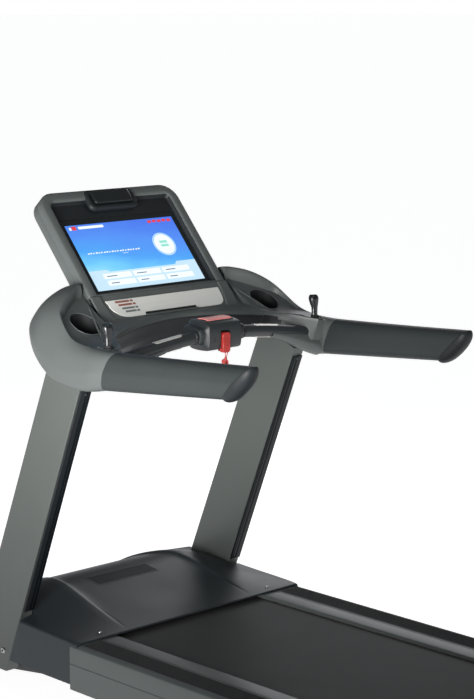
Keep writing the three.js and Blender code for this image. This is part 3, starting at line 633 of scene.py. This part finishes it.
def base_section(x):
    """The console's lower shell at x: ledge, rounded ridge, hollowed near face, underside and back."""
    y, z = ridge(x)
    corner = [(527, 1113), (y + 17, z + 2.6), (y + 10, z + 1.2), (y + 4, z - 2), (y + 1, z - 6), (y, z - 12)]
    near = [(y + 5, z - 22), (y + 13, z - 34), (y + 19, z - 48), (y + 22, z - 60)]
    under = [(y + 27, z - 66), (545, 1008), (625, 1015), (671, 1070), (675, 1150), (655, 1200), (605, 1178)]
    return [(x, a, b) for a, b in corner + near + under]


def quarter(x, y, rx, ry, start, n):
    """A quarter of an ellipse from `start` degrees on, in n steps."""
    turns = [math.radians(start + 90 * i / n) for i in range(n + 1)]
    return [(x + rx * math.cos(t), y + ry * math.sin(t)) for t in turns]


def console_base():
    xs = [-276 + 552 * i / 48 for i in range(49)]
    lower = [base_section(x) for x in xs]
    paint_shadow_below(loft("console_lower", lower, SHELL, replaces=("console_base",), sharp=42))
    # the face that carries the panel, and the two rims that run on down from the display's
    plate = rounded(-HALF, -234, HALF, LOW - 0.6, (10, 2, 2, 10))
    prism("panel_face", "f", plate, -30, 15.6, SHELL, bevel=1.5)
    for side, word in WORD.items():
        rim = [(x * side, v) for x, v in ((226, LOW - 0.6), (HALF, LOW - 0.6), (HALF, -226), (256, -234),
                                          (236, -236), (214, -230), (219, -204), (225, -170))]
        prism("panel_rim_" + word, "f", rim, 5, 19.6, SHELL, bevel=4, segments=4, sharp=30)
    slot_edge = [(-100, -221), (-96, -211.5), (96, -211.5), (100, -221), (176, -221)]
    panel = ([(-217, -161)] + quarter(-150, -176, 62, 45, 180, 10) + slot_edge
             + quarter(184, -196, 30, 25, 270, 6) + [(217, -161)])
    prism("silver_face", "f", panel, 15.9, 18.2, SILVER, replaces=("key_panel",), bevel=0.5, segments=2)
    prism("ledge_slot", "f", rounded(-97, -221.5, 97, -212, 2), 14, 19.2, NEAR_BLACK_AND_SHADOW, bevel=0.8)
    prism("ledge_lip", "f", rounded(-101, -226, 101, -220.5, 2), 14, 22.5, SHELL, bevel=1.2)
    rows = ((-172, 52, KEY_STRIP), (-183, 50, KEY_STRIP), (-195, 46, GREY_KEY), (-206, 40, GREY_KEY))
    for i, (v, wide, mat) in enumerate(rows):
        x0 = -186 + i * 7
        x1 = x0 + wide
        for tag, a, b in (("", x0, x1), ("end_", x1 + 3, x1 + 13)):
            prism(f"panel_key_{tag}{i}", "f", rounded(a, v, b, v + 6.5, 1.4, 3), 18.2, 18.9, mat, bevel=0.25,
                  segments=2)


console_base()


def frame_ring(inset, w):
    """One loop round the display housing, `inset` inside its outline and `w` out of its face."""
    r = max(2.5, 56 - inset)
    foot = max(1.0, 4 - inset * 0.3)
    outline = rounded(-HALF + inset, LOW + inset * 0.12, HALF - inset, TOP - inset, (foot, r, r, foot))
    return [face_point(a, b, w) for a, b in outline]


def rear_face(v, w=-57.5):
    """How far back the display's rear cover stands at v up the slope: more towards its foot."""
    return BACK + (w - BACK) * (0.55 + 0.95 * (TOP - v) / (TOP - LOW))


def display_shell():
    """The display's surround: its sides, rim, sunken inner frame and the glass's seat."""
    rings = [frame_ring(*p) for p in (
        (5, -37.8), (1.6, -35.5), (0, -31), (0, -8), (0.6, -7.2), (0.6, -6.0), (0, -5.2), (0, 8), (1.0, 12.5),
        (3.4, 15.9), (7, 17), (26, 17), (30, 16), (32.5, 13))]
    for i, w, r in ((0, 11, 12), (3, 4, 10), (6, 1.0, 8)):
        sunken = rounded(-229 + i, -133 + i * 0.1, 229 - i, 191 - i, (3, r, r, 3))
        rings.append([face_point(a, b, w) for a, b in sunken])
    seat = rounded(-219.8, -130.8, 219.8, 134.8, 3)
    rings += [[face_point(a, b, w) for a, b in seat] for w in (1.0, -1.5)]
    shell = loft("display_shell", rings, SHELL, replaces=("display_housing",), caps=False, sharp=38)
    # Painted shade: the sunken frame's faces less than 12 mm out of the face take the darker material.
    shell.data.materials.append(DARKER_SHELL_AND_PAINTED_SHADOW)
    for p in shell.data.polygons:
        middle = p.center / MM - Vector((0, SCREEN_Y, SCREEN_Z))
        inside = abs(middle.x) < 229.5 and -134 < middle.y * COS + middle.z * SIN < 192
        if inside and -middle.y * SIN + middle.z * COS < 12:
            p.material_index = 1


def display_rear():
    rings = []
    for inset, w in ((9, BACK), (9.5, -41), (13, -46), (21, -52), (36, -56), (72, -57.5)):
        outline = rounded(-HALF + inset, LOW + inset * 0.5, HALF - inset, TOP - inset, (10, 40, 40, 10))
        rings.append([face_point(a, b, rear_face(b, w)) for a, b in outline])
    loft("display_rear", rings, SHELL, replaces=("display_back_cover",), sharp=40)
    # Painted shade: each vent is a near-black strip set into the cover, not an opening.
    for i in range(9):
        v = 96 - i * 11
        w = rear_face(v)
        prism(f"rear_vent_{i}", "f", rounded(-120, v, 120, v + 5, 2.4, 4), w - 0.6, w + 1.5, NEAR_BLACK_AND_SHADOW)
    for x in (-225, 225):
        for v in (-100, 180):
            at = face_point(x * 0.84, v * 0.9, rear_face(v * 0.9) + 0.9)
            screw(f"rear_screw_{x}_{v}".replace("-", "m"), at, (0, SIN, -COS), 5)


def display():
    display_shell()
    display_rear()
    border = rounded(-219, -130, 219, 134, 3, 4)
    prism("glass_border", "f", border, -7.6, 0, GLOSS, replaces=("display_glass",), bevel=0.6)
    prism("lit_picture", "f", rounded(-204.9, -115.2, 204.9, 115.2, 0.6, 2), 0, 0.22, SKY)
    ui()
    pod()


def chip(name, x0, v0, x1, v1, mat, lift, r=2.0):
    """A flat mark on the screen."""
    prism(name, "f", rounded(x0, v0, x1, v1, min(r, (x1 - x0) / 2.01, (v1 - v0) / 2.01), 4), 0.2, lift, mat)


def ui():
    """The screen's marks: a round start button, a menu panel, a status bar and a line of blank text."""
    for name, r, mat, lift in (("start_halo", 41, UI_PALE, 0.30), ("start_ring", 38.4, UI_BLUE, 0.36),
                               ("start_disc", 36, UI_WHITE, 0.42)):
        prism(name, "f", circle(123, 20, r, 48), 0.2, lift, mat)
    for i, v in enumerate((24, 11)):
        chip(f"start_glyph_{i}", 108, v, 138, v + 9, UI_GREEN, 0.50, 1.5)
    panel = [(-204.9, -115.2), (204.9, -115.2), (204.9, -44), (132, -44), (122, -54), (-128, -54),
             (-138, -47), (-204.9, -47)]
    prism("menu_panel", "f", panel, 0.2, 0.34, UI_PALE)
    for row in range(2):
        for column in range(3):
            x0 = -160 + column * 112 + row * 4
            v0 = -78 - row * 24
            chip(f"menu_button_{row}_{column}", x0, v0, x0 + 104, v0 + 18, UI_WHITE, 0.44, 3)
            chip(f"menu_mark_{row}_{column}", x0 + 12, v0 + 7, x0 + 50 - row * 8, v0 + 10, UI_INK, 0.52, 1)
    chip("status_bar", -160, 100, -66, 109, UI_WHITE, 0.36)
    chip("status_square", -184, 98, -168, 111, UI_RED, 0.42, 1.5)
    chip("status_icon", -194, 98, -186, 108, UI_WHITE, 0.42, 1.5)
    for i in range(5):
        x = 104 + i * 19
        chip(f"corner_mark_{i}", x, 99 + (i % 2), x + 14, 108 + (i % 2), UI_RED, 0.42, 1.5)
    for i in range(20):
        x = -174 + i * 10
        chip(f"prompt_mark_{i}", x, 11, x + 7 - (i % 3), 15 + (i % 2), UI_WHITE, 0.36, 0.8)
    chip("prompt_underline", -48, 3, -26, 5, UI_PALE, 0.36, 0.8)


def pod():
    """The sensor pod at the display's top, with its two lenses."""
    rings = []
    for inset, w in ((-3, 8.5), (-3, 13), (-2, 17.5), (1, 20.4), (5, 21.6), (9, 21.4), (12, 20), (14, 17)):
        outline = rounded(-90 + inset, 154 + inset, 90 - inset, 219 - inset, max(2, 17 - inset))
        rings.append([face_point(a, b, w) for a, b in outline])
    loft("pod_surround", rings, DARKER_SHELL_AND_PAINTED_SHADOW, replaces=("sensor_pod",), sharp=45)
    window = [[face_point(a, b, w) for a, b in rounded(-71 + i, 169 + i, 71 - i, 213 - i, 7 - i * 0.4)]
              for i, w in ((0, 17), (0, 24.5), (1.2, 26.2), (4, 27.2), (8, 27.4))]
    loft("pod_window", window, GLOSS, sharp=40)
    prism("pod_lip", "f", rounded(-82, 154, 82, 162, 3.8, 5), 17, 23, DARKER_SHELL_AND_PAINTED_SHADOW, bevel=1.5)
    for x, tag in ((-6, "a"), (6, "b")):
        prism("pod_lens_" + tag, "f", circle(x, 191, 2.6, 20), 27.2, 27.9, NEAR_BLACK_AND_SHADOW, bevel=0.3)


display()


# -------------------------------------------------- stop pod, key and lanyard
def rounder(points):
    """Cuts the corners twice: two points, a quarter of the way along the sides, take a corner's place."""
    for _ in range(2):
        points = [tuple(a + (b - a) * k for a, b in zip(p, q))
                  for p, q in zip(points, points[1:] + points[:1]) for k in (0.25, 0.75)]
    return points


# The stop pod's side outline, as (y, z), at its body and at the wings that the bar runs into.
BODY_SIDE = [(300, 1040), (299, 1094), (309, 1110), (378, 1117), (390, 1106), (388, 1040), (376, 1029),
             (309, 1029)]
WING_SIDE = [(311, 1058), (310, 1086), (318, 1096), (376, 1102), (386, 1096), (385, 1052), (376, 1046),
             (320, 1046)]


def stop_pod():
    rings = []
    for x, wing, shrink in ((-86, 1, 5), (-84.5, 1, 2.5), (-81, 1, 0.8), (-76, 1, 0), (-70, 1, 0),
                            (-66, 0.75, 0), (-63.5, 0.3, 0), (-61, 0.06, 0), (-56, 0, 0), (0, 0, 0)):
        ring = []
        for (y0, z0), (y1, z1) in zip(rounder(BODY_SIDE), rounder(WING_SIDE)):
            y, z = y0 + (y1 - y0) * wing, z0 + (z1 - z0) * wing
            ring.append((x, y + (348 - y) * shrink / 40, z + (1075 - z) * shrink / 30))
        rings.append(ring)
    rings += [mirror(r, 1) for r in reversed(rings[:-1])]
    pod_body = loft("stop_housing", rings, DARK, replaces=("stop_pod",), sharp=40)
    carve(pod_body, prism("slot", "y", rounded(-19, 1015, 17, 1086, 5), 290, 312.5, NEAR_BLACK_AND_SHADOW))
    prism("key_socket", "y", rounded(-18.7, 1026, 16.7, 1085.7, 4.8), 311.6, 312.4, NEAR_BLACK_AND_SHADOW)
    rim = [(x, 301.2 + max(0, (z - 1085) * 0.45), z) for x, z in rounded(-20.5, 1034, 18.5, 1087.5, 6, 4)]
    tube("key_slot_rim", rim, 1.1, DARK, n=8, up=(0, 0, 1), closed=True)
    top = [(320, 1101), (320, 1115.4), (372, 1116.2), (372, 1101)]
    prism("stop_collar", "x", rounder(top), -50, 50, DARK, bevel=1.2)
    cap = [(323, 1099), (322.5, 1113), (330, 1117.5), (362, 1118.8), (369.5, 1114), (369, 1099)]
    prism("stop_button_cap", "x", rounder(cap), -47, 47, RED, replaces=("stop_button",), body="stop_knob",
          bevel=2.4, segments=4, sharp=50)
    lathe("pod_sensor", [(0, -2), (6.2, -2), (6.2, 0.5), (5, 1.0), (4.2, 0.2), (0, 0.2)], (-42, 300.3, 1062),
          (0, -1, 0), NEAR_BLACK_AND_SHADOW, n=28)


def safety_key():
    outline = rounded(-15.5, 1022, 13.5, 1080, 8.5)
    prism("key_fob", "y", outline, 294, 311.4, KEY_RED, replaces=("safety_key",), body="key_and_lanyard",
          bevel=2.2, segments=4, sharp=50)
    for i, z in enumerate((1040, 1049, 1058)):
        prism(f"key_rib_{i}", "y", rounded(-11, z, 9, z + 3.6, 1.7, 4), 292.4, 295, KEY_RED, bevel=0.7,
              body="key_and_lanyard")
    ring = [(x, 297.2, z) for x, z in circle(KEY_X, 1028.5, 4.2, 28)]
    tube("key_eye", ring, 1.0, DARK, n=8, up=(0, 1, 0), closed=True, body="key_and_lanyard")


stop_pod()
safety_key()


# ------------------------------------------------------------ grips and levers
GRIP_STATIONS = [(-423, 287.6, 1021.3, -21, 54.5, 38), (-417, 45, 1037, -36, 51, 37),
                 (-410.3, -190, 1053.7, -52, 49, 34)]


def grip(name, side, **more):
    """The padded sleeve; its first two rings round off the edge that meets the ring."""
    rings = []
    for x, y, z, lean, tall, wide in spline(GRIP_STATIONS, 12):
        section = banded_ring(Vector((x, y, z)), Vector((0, lean, tall)), Vector((-wide, 0, 0)))
        rings.append(mirror(section, side))
    first = [Vector(p) for p in rings[0]]
    middle = sum(first, Vector()) / len(first)
    lip = [[middle + (p - middle) * k + Vector((0, d, 0)) for p in first]
           for k, d in ((0.965, 0.9), (0.99, 0.3))]
    loft(name, lip + rings, GRIP, sharp=20, **more)


def grip_end(name, side, **more):
    """The sleeve's domed end cap, on the slanted end face."""
    x, y, z, lean, tall, wide = GRIP_STATIONS[-1]
    normal = Vector((0, -0.69, -0.73))
    rings = []
    for i in range(13):
        turn = math.radians(1 + 86 * i / 12)
        shrink = math.cos(turn) ** 0.9
        centre = Vector((x, y, z)) + normal * (0.4 + 28.4 * math.sin(turn))
        section = banded_ring(centre, Vector((0, lean, tall)) * shrink, Vector((-wide * shrink, 0, 0)))
        rings.append(mirror(section, side))
    loft(name, rings, DARKER_SHELL_AND_PAINTED_SHADOW, sharp=24, **more)


# A lever's paddle up its height, as (lean, height, half width, half depth).
PADDLE = [(0, -6, 7, 7), (0, 14, 9.5, 7), (0, 38, 10, 7), (2, 52, 13, 10), (4, 66, 15.5, 12),
          (5, 75, 13.5, 10), (5, 78.6, 9, 6.5)]


def rib_radius(share):
    return 3.2 - 1.6 * abs(2 * share - 1)


def lever(name, side, replaces, body):
    """A lever's paddle, the boot it tilts in, and the raised lip and rib on the tray round it."""
    cx, cy, cz = 396 * side, 339, 1065
    rings = []
    for lean, high, wide, deep in spline(PADDLE, 5):
        ring = []
        for c, s in around(28):
            across, along = math.copysign(abs(c) ** 0.8, c), math.copysign(abs(s) ** 0.8, s)
            ring.append((cx + wide * across, cy + lean + deep * along, cz + high))
        rings.append(ring)
    loft(name, rings, GLOSS, replaces=replaces, body=body, sharp=60)
    boot = [(14, 0), (13, 3.0), (11.6, 4.5), (11.2, 7), (10.8, 8.5), (10.4, 10.5), (0, 10.5), (0, 0)]
    lathe(name + "_boot", boot, (cx, cy, tray_z(cy) - 2), (0, 0, 1), RUBBER, n=28)
    lip = ((379, 378), (376, 356), (376, 334), (383, 318), (396, 312), (409, 318), (416, 334), (417, 360))
    rib = ((283, 560), (303, 512), (332, 446), (357, 410), (379, 378))
    for tag, route, lift, radius in (("_lip", lip, 1.0, 2.4), ("_rib", rib, 0.2, rib_radius)):
        path = spline([(side * x, y, tray_z(y) + lift) for x, y in route], 5)
        tube(name + tag, path, radius, SHELL, n=10)


both("grip_sleeve", grip, replaces=("grip",))
both("grip_end", grip_end, replaces=("grip_cap",))
lever("lever_left", -1, ("incline_lever",), "lever_incline")
lever("lever_right", 1, ("speed_lever",), "lever_speed")


# ------------------------------------------------------------------- uprights
# The ring's underside over a column, as (y, z).
SEAT = [(300, 950), (346, 958), (385, 957), (440, 965), (508, 982), (530, 996), (560, 1019), (580, 1047),
        (620, 1060)]
SEAT_IN = 12  # how far a column stands up into the ring above it


def upright_y(z, share):
    """How far forward a column is at height z; share runs from its user's side to its far side."""
    rear = 379 + (1060 - z) * 0.403
    return rear + share * (166 + (1060 - z) / 990 * 16)


def seat_height(share):
    """Where a column's upper end meets the ring, found by repeated halving."""
    z = 1000
    for _ in range(30):
        z = (z + between(SEAT, upright_y(z, share))) / 2
    return z + SEAT_IN


def upright(name, side, **more):
    section = [(x, y / 166) for x, y in rounded(388, 0, 431, 166, (3, 15, 3, 3), 6)]
    foot_z = 70
    rings = []
    for i in range(25):
        ring = []
        for x, share in section:
            z = foot_z + (seat_height(share) - foot_z) * i / 24
            ring.append((x, upright_y(z, share), z))
        rings.append(mirror(ring, -side))
    loft(name, rings, PAINT, sharp=50, **more)


def strip_piece(name, side, x0, x1, proud, z0, z1, mat, back=0.2, bevel=1.2, **more):
    """A strip down the user's side of a column, standing `proud` of it."""
    rings = []
    for i in range(21):
        z = z0 + (z1 - z0) * i / 20
        near, far = upright_y(z, 0) - proud, upright_y(z, 0) - back
        rings.append(mirror([(x0, far, z), (x1, far, z), (x1, near, z), (x0, near, z)], -side))
    loft(name, rings, mat, bevel=bevel, sharp=60, **more)


def upright_dress(name, side, **more):
    word = WORD[side]
    strip_piece(name, side, 409.4, 427.5, 6.6, 266, 948, DARKER_SHELL_AND_PAINTED_SHADOW, **more)
    strip_piece("trim_inlay_" + word, side, 389.5, 409, 5.2, 266, 948, STRIP, bevel=0.8)
    strip_piece("trim_bead_" + word, side, 399, 401, 6.0, 268, 946, GLOSS, back=-4.8, bevel=0.3)
    screw("trim_screw_" + word, (side * 409.5, upright_y(938, 0) - 6.4, 938), (0, -0.927, -0.374), 3.6, DARK)
    for i, share in enumerate((0.2, 0.8)):
        screw(f"upright_bolt_{word}_{i}", (side * 431.3, upright_y(130, share), 130), (side, 0, 0), 9)


both("upright_column", upright, replaces=("upright",))
both("upright_strip", upright_dress, replaces=("upright_trim",))


# ----------------------------------------------------------------------- hood
HOOD_LINE = [(442, 231), (560, 256), (680, 283), (760, 297), (835, 292), (920, 268), (1000, 234), (1065, 192),
             (1104.5, 146)]


def step(v, a, b):
    """A smooth step from 0 at a to 1 at b."""
    t = min(1, max(0, (v - a) / (b - a)))
    return t * t * (3 - 2 * t)


CREASE = [(442, 254), (640, 243), (780, 231), (845, 216), (920, 206), (1105, 190)]


def hood_z(x, y, centre):
    """The hood's height at (x, y), from its middle's: a groove and a raised wing follow the crease."""
    x = abs(x)
    edge = between(CREASE, y)
    wing = step(y, 442, 700) * (6.5 * step(x, edge - 24, edge + 4) - 0.075 * max(0, x - edge - 6))
    groove = 0.9 * step(y, 442, 520) * math.exp(-(((x - edge + 10) / 4) ** 2))
    outward = max(0, (x - 225) / 213)
    edge_z = 233 + (y - 442) * 0.06
    return centre + wing - groove - max(0, centre - edge_z) * outward ** 1.5


def hood_columns(y, half):
    """Where the hood's points are across one half: close together round the crease."""
    line = between(CREASE, y)
    xs = [line * k for k in (0, 0.25, 0.5, 0.7, 0.82)]
    xs += [line + d for d in (-24, -18, -14, -11, -9, -6, -2, 4)]
    rest = half - 9 - (line + 4)
    return xs + [line + 4 + rest * k for k in (0.12, 0.26, 0.42, 0.58, 0.74, 0.88, 1.0)]


def hood_ring(y, z, thin=0.0):
    """The hood's section at y, with rounded shoulders and a skirt on each side; `thin` draws it in."""
    nose = step(y, 950, 1104.7)
    half = 438 - 70 * nose ** 2 - thin
    right = [(x, y, max(114, hood_z(x, y, z) - thin)) for x in hood_columns(y, half)]
    top_z = max(114, hood_z(half - 9, y, z) - thin)
    drop = min(9, max(1, top_z - 112))
    for i in range(1, 6):
        t = math.radians(90 - 18 * i)
        right.append((half - 9 + 9 * math.cos(t), y, max(112, top_z - drop + drop * math.sin(t))))
    right.append((half, y, 110.2))
    left = [(-x, y, z) for x, y, z in right[1:]]
    return list(reversed(left)) + right


def hood():
    """The hood as a sheet 4 mm thick, outside and inside, closed along its edges."""
    line = spline(HOOD_LINE, 7)
    outer = [hood_ring(y, z) for y, z in line]
    lip = [(p[0], 442, p[2] - 3) for p in outer[0]]
    outer[0] = hood_ring(444.5, 231.5)
    inner = [hood_ring(min(y, 1100), z, 4) for y, z in line]
    n = len(outer[0])
    sheet = [lip] + outer
    rings = sheet + list(reversed(inner))
    count = len(rings)
    faces = []
    for i in range(count):
        a, b = i * n, ((i + 1) % count) * n
        faces += [(a + j, a + j + 1, b + j + 1, b + j) for j in range(n - 1)]
    for j in (0, n - 1):  # the two skirts, outside to inside
        for i in range(len(sheet) - 2):
            faces.append(((i + 1) * n + j, (i + 2) * n + j, (count - 2 - i) * n + j, (count - 1 - i) * n + j))
    return make("hood_cover", [p for r in rings for p in r], faces, HOOD, replaces=("motor_hood",), sharp=40)


def hood_height_at(x, y):
    return hood_z(x, y, between(spline(HOOD_LINE, 12), y))


def hood_patch(name, corners, lift, mat):
    """A thin plate that follows the hood; corners are (x, y) in order round it."""
    a, b, c, d = corners
    n = 16
    sheet = []
    for i in range(n + 1):
        for j in range(n + 1):
            s, t = i / n, j / n
            x = (a[0] * (1 - s) + b[0] * s) * (1 - t) + (d[0] * (1 - s) + c[0] * s) * t
            y = (a[1] * (1 - s) + b[1] * s) * (1 - t) + (d[1] * (1 - s) + c[1] * s) * t
            sheet.append((x, y, hood_height_at(x, y)))
    verts = [(x, y, z + level) for level in (lift, -1.0) for x, y, z in sheet]

    def at(i, j, under):
        return under * len(sheet) + i * (n + 1) + j

    faces = []
    for i in range(n):
        for j in range(n):
            faces.append((at(i, j, 0), at(i + 1, j, 0), at(i + 1, j + 1, 0), at(i, j + 1, 0)))
            faces.append((at(i, j, 1), at(i, j + 1, 1), at(i + 1, j + 1, 1), at(i + 1, j, 1)))
    border = ([(i, 0) for i in range(n)] + [(n, j) for j in range(n)] + [(i, n) for i in range(n, 0, -1)]
              + [(0, j) for j in range(n, 0, -1)])
    for (i, j), (k, m) in zip(border, border[1:] + border[:1]):
        faces.append((at(i, j, 0), at(k, m, 0), at(k, m, 1), at(i, j, 1)))
    make(name, verts, faces, mat, sharp=50)


def hood_parts():
    shell = hood()
    for side in WORD:
        foot = [(384.5, -0.045), (444, -0.045), (444, 1.03), (384.5, 1.03)]
        way = [[(side * x, upright_y(z, share), z) for x, share in foot] for z in (60, 330)]
        carve(shell, loft("way", way, NEAR_BLACK_AND_SHADOW))
    hood_patch("hood_badge", ((-142, 700), (96, 700), (90, 760), (-150, 760)), 0.7, DARK)
    hood_patch("hood_badge_face", ((-138, 703), (92, 703), (86, 757), (-146, 757)), 1.0, STRIP)
    for x in (-330, 330):
        for y in (470, 1010):
            at = (x, y, hood_height_at(x, y) + 0.6)
            screw(f"hood_screw_{x}_{y}".replace("-", "m"), at, (0, -0.05, 1), 5.5)


hood_parts()


# ------------------------------------------------------------- rails and belt
def run(side, outline, ys):
    """An outline in x and z, at each of a few y."""
    return [[(x * side, y, z) for x, z in outline] for y in ys]


def rail(name, side, **more):
    """A foot rail with its tread insert, the insert's ribs and the screws in its side."""
    word = WORD[side]
    outline = [(440, 95), (435, 95), (435, 219), (293, 219), (293, 213), (288, 213), (288, 221.5),
               (289.2, 224), (291.8, 225), (341, 225), (343, 223.6), (345, 225), (426, 225), (433, 223),
               (438, 218.6), (440, 212), (440, 172), (438.6, 170), (440, 168)]
    loft(name, run(side, outline, (-1030, 100, 470)), SHELL, sharp=30, **more)
    insert = [(351, 224.4), (421, 224.4), (421, 226.2), (351, 226.2)]
    loft("tread_insert_" + word, run(side, insert, (-1012, 436)), MESH_INSERT, bevel=0.5, segments=2)
    for i in range(16):
        x = 354.3 + i * 4.2
        rib = [(x, 226.1), (x + 1.9, 226.1), (x + 1.5, 226.9), (x + 0.4, 226.9)]
        loft(f"tread_rib_{word}_{i}", run(side, rib, (-1008, 432)), RUBBER)
    for i, y in enumerate((-940, -430, 80)):
        screw(f"rail_screw_{word}_{i}", (side * 440.2, y, 140), (side, 0, 0), 5)


def cap_ring(side, y, inset):
    x0, x1, z0, z1 = 440 - inset, 288, 95 + inset * 0.5, 225 - inset * 0.6
    points = [(x0, z0), (x1, z0), (x1, z1 - 3), (x1 + 1.2, z1 - 0.8), (x1 + 3, z1), (x0 - 18, z1),
              (x0 - 9, z1 - 2.2), (x0 - 3, z1 - 7), (x0 - 0.6, z1 - 13), (x0, z1 - 20)]
    return [(side * x, y, z) for x, z in points]


def rear_end(name, side, **more):
    keys = [(-1030.4, 0.6), (-1032, 0), (-1055, 0), (-1075, 0.8), (-1088, 4), (-1097, 10), (-1102.5, 17),
            (-1104.9, 25)]
    loft(name, [cap_ring(side, y, inset) for y, inset in keys], SHELL, sharp=40, **more)
    word = WORD[side]
    for i, z in enumerate((128, 178)):
        screw(f"cap_screw_{word}_{i}", (side * 380, -1103.2, z), (0, -1, 0), 5)
    socket = [(0, -4), (9, -4), (9, 0.2), (7.5, 0.9), (6.6, 0.2), (6.6, -2.5), (0, -2.5)]
    lathe("belt_tension_" + word, socket, (side * 330, -1104, 160), (0, -1, 0), NEAR_BLACK_AND_SHADOW, n=24)


both("side_rail", rail, replaces=("foot_rail",))
both("rear_end_cap", rear_end, replaces=("rear_cap",))


def belt_loop():
    """The belt round its two drums, as (outer and inner) sections across its width."""
    inner, outer, half = 45.3, 47.8, 280
    rings = []
    for drum_y, start in ((520, 90), (-1045, -90)):
        for i in range(49):
            t = math.radians(start - 180 * i / 48)
            (y0, z0), (y1, z1) = [(drum_y + r * math.cos(t), 167 + r * math.sin(t)) for r in (inner, outer)]
            rings.append([(-half, y0, z0), (half, y0, z0), (half, y1, z1), (-half, y1, z1)])
    loft("tread_belt", rings, BELT, caps=False, loop=True, replaces=("running_belt",), sharp=40)


belt_loop()


def wheel(name, side, **more):
    """A tyre with two grooves in its tread."""
    half = [(35, 1.8), (33.8, 2.6), (33.8, 4.2), (35, 5), (35, 11), (33.5, 13.5), (29, 15)]
    profile = ([(8.6, -15)] + [(r, -h) for r, h in reversed(half)] + half
               + [(27, 12.5), (13, 12.5), (11.5, 15), (8.6, 15)])
    lathe(name, profile, (side * 358.6, 985, 35), (1, 0, 0), RUBBER, n=56,
          body="transport_wheel_" + WORD[side][0], **more)


def foot(name, side, **more):
    """A levelling foot: its pad, its threaded stem and the nut that locks it."""
    letter = WORD[side][0]
    x, y = 367.7 * side, -900
    profile = [(0, 0.05), (27, 0.05), (29.4, 1.5), (30, 4), (30, 12), (28, 15), (22, 17.5), (12, 20), (8, 20)]
    z = 22
    while z < 122:
        profile += [(7.9, z), (7.0, z + 1.0), (7.9, z + 2.0)]
        z += 2.6
    profile += [(7.0, 125), (0, 125)]
    lathe(name, profile, (x, y, 0), (0, 0, 1), RUBBER, n=40, body="foot_" + letter, **more)
    prism("foot_nut_" + letter, "z", circle(x, y, 15, 6), 66, 78, STEEL, bevel=1.2)


both("wheel_tyre", wheel, replaces=("transport_wheel",))
both("foot_pad", foot, replaces=("levelling_foot",))


# ---------------------------------------------- pieces whose CAD shape is kept
KEPT = {
    FRAME: ["frame_beam_left", "frame_beam_right", "motor_mount_frame", "lift_crossmember",
            "deck_crossmember_front", "deck_crossmember_rear", "lift_frame"],
    RUBBER: ["deck_cushion_left", "deck_cushion_right", "drive_belt", "power_switch"],
    WOOD: ["deck_board"],
    STEEL: ["front_roller", "rear_roller", "front_roller_axle", "rear_roller_axle", "motor_flywheel",
            "incline_screw"],
    ENAMEL: ["drive_motor", "incline_motor"],
    ALLOY: ["motor_controller"],
    DARK: ["front_panel", "power_inlet", "lanyard_clip"],
}
for mat, names in KEPT.items():
    for name in names:
        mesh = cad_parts[name].data
        mesh.materials.clear()
        mesh.materials.append(mat)


# --------------------------------------------------------------- set and lights
def stage():
    bpy.ops.mesh.primitive_plane_add(size=900, location=(0, 0, -0.0005))
    floor = bpy.context.object
    floor.name = "floor"
    m, tree, b = shader("pale_floor", (0.8, 0.8, 0.8), 0.8, emit=(1, 1, 1, 0.87))
    cloud = node(tree, "TexNoise", Vector=coordinates(tree), Scale=0.5)
    grey = ramp(tree, cloud.outputs["Fac"], (0, (0.79, 0.79, 0.79)), (1, (0.81, 0.81, 0.81)))
    wire(b, Base_Color=grey)
    floor.data.materials.append(m)


def area_light(name, at, target, size, power, color=(1, 1, 1), spread=180):
    data = bpy.data.lights.new(name, "AREA")
    data.shape = "RECTANGLE"
    data.size, data.size_y = size
    data.energy = power
    data.spread = math.radians(spread)
    data.color = color
    light = bpy.data.objects.new(name, data)
    bpy.context.scene.collection.objects.link(light)
    light.location = at
    light.rotation_euler = (Vector(target) - Vector(at)).to_track_quat("-Z", "Y").to_euler()


def lighting():
    world = bpy.data.worlds.new("studio")
    bpy.context.scene.world = world
    world.use_nodes = True
    tree = world.node_tree
    height = node(tree, "SeparateXYZ", Vector=coordinates(tree, "Generated")).outputs["Z"]
    horizon = ramp(tree, height, (0.008, (1, 1, 1)), (0.06, (0.13, 0.135, 0.14)))
    wire(tree.nodes["Background"], Color=horizon, Strength=1.0)
    area_light("left_wall", (-2.1, -0.6, 1.0), (0, 0.55, 1.22), (1.1, 1.1), 20, (1.0, 0.995, 0.97), 60)
    area_light("top", (0.4, -1.2, 3.2), (0, 0.3, 1.0), (1.6, 1.6), 8)
    area_light("right_back", (3.2, 2.4, 2.0), (0, 0.6, 1.0), (2.0, 2.0), 30, (0.97, 0.985, 1.0))


stage()
lighting()
bpy.context.scene.view_settings.view_transform = "Standard"
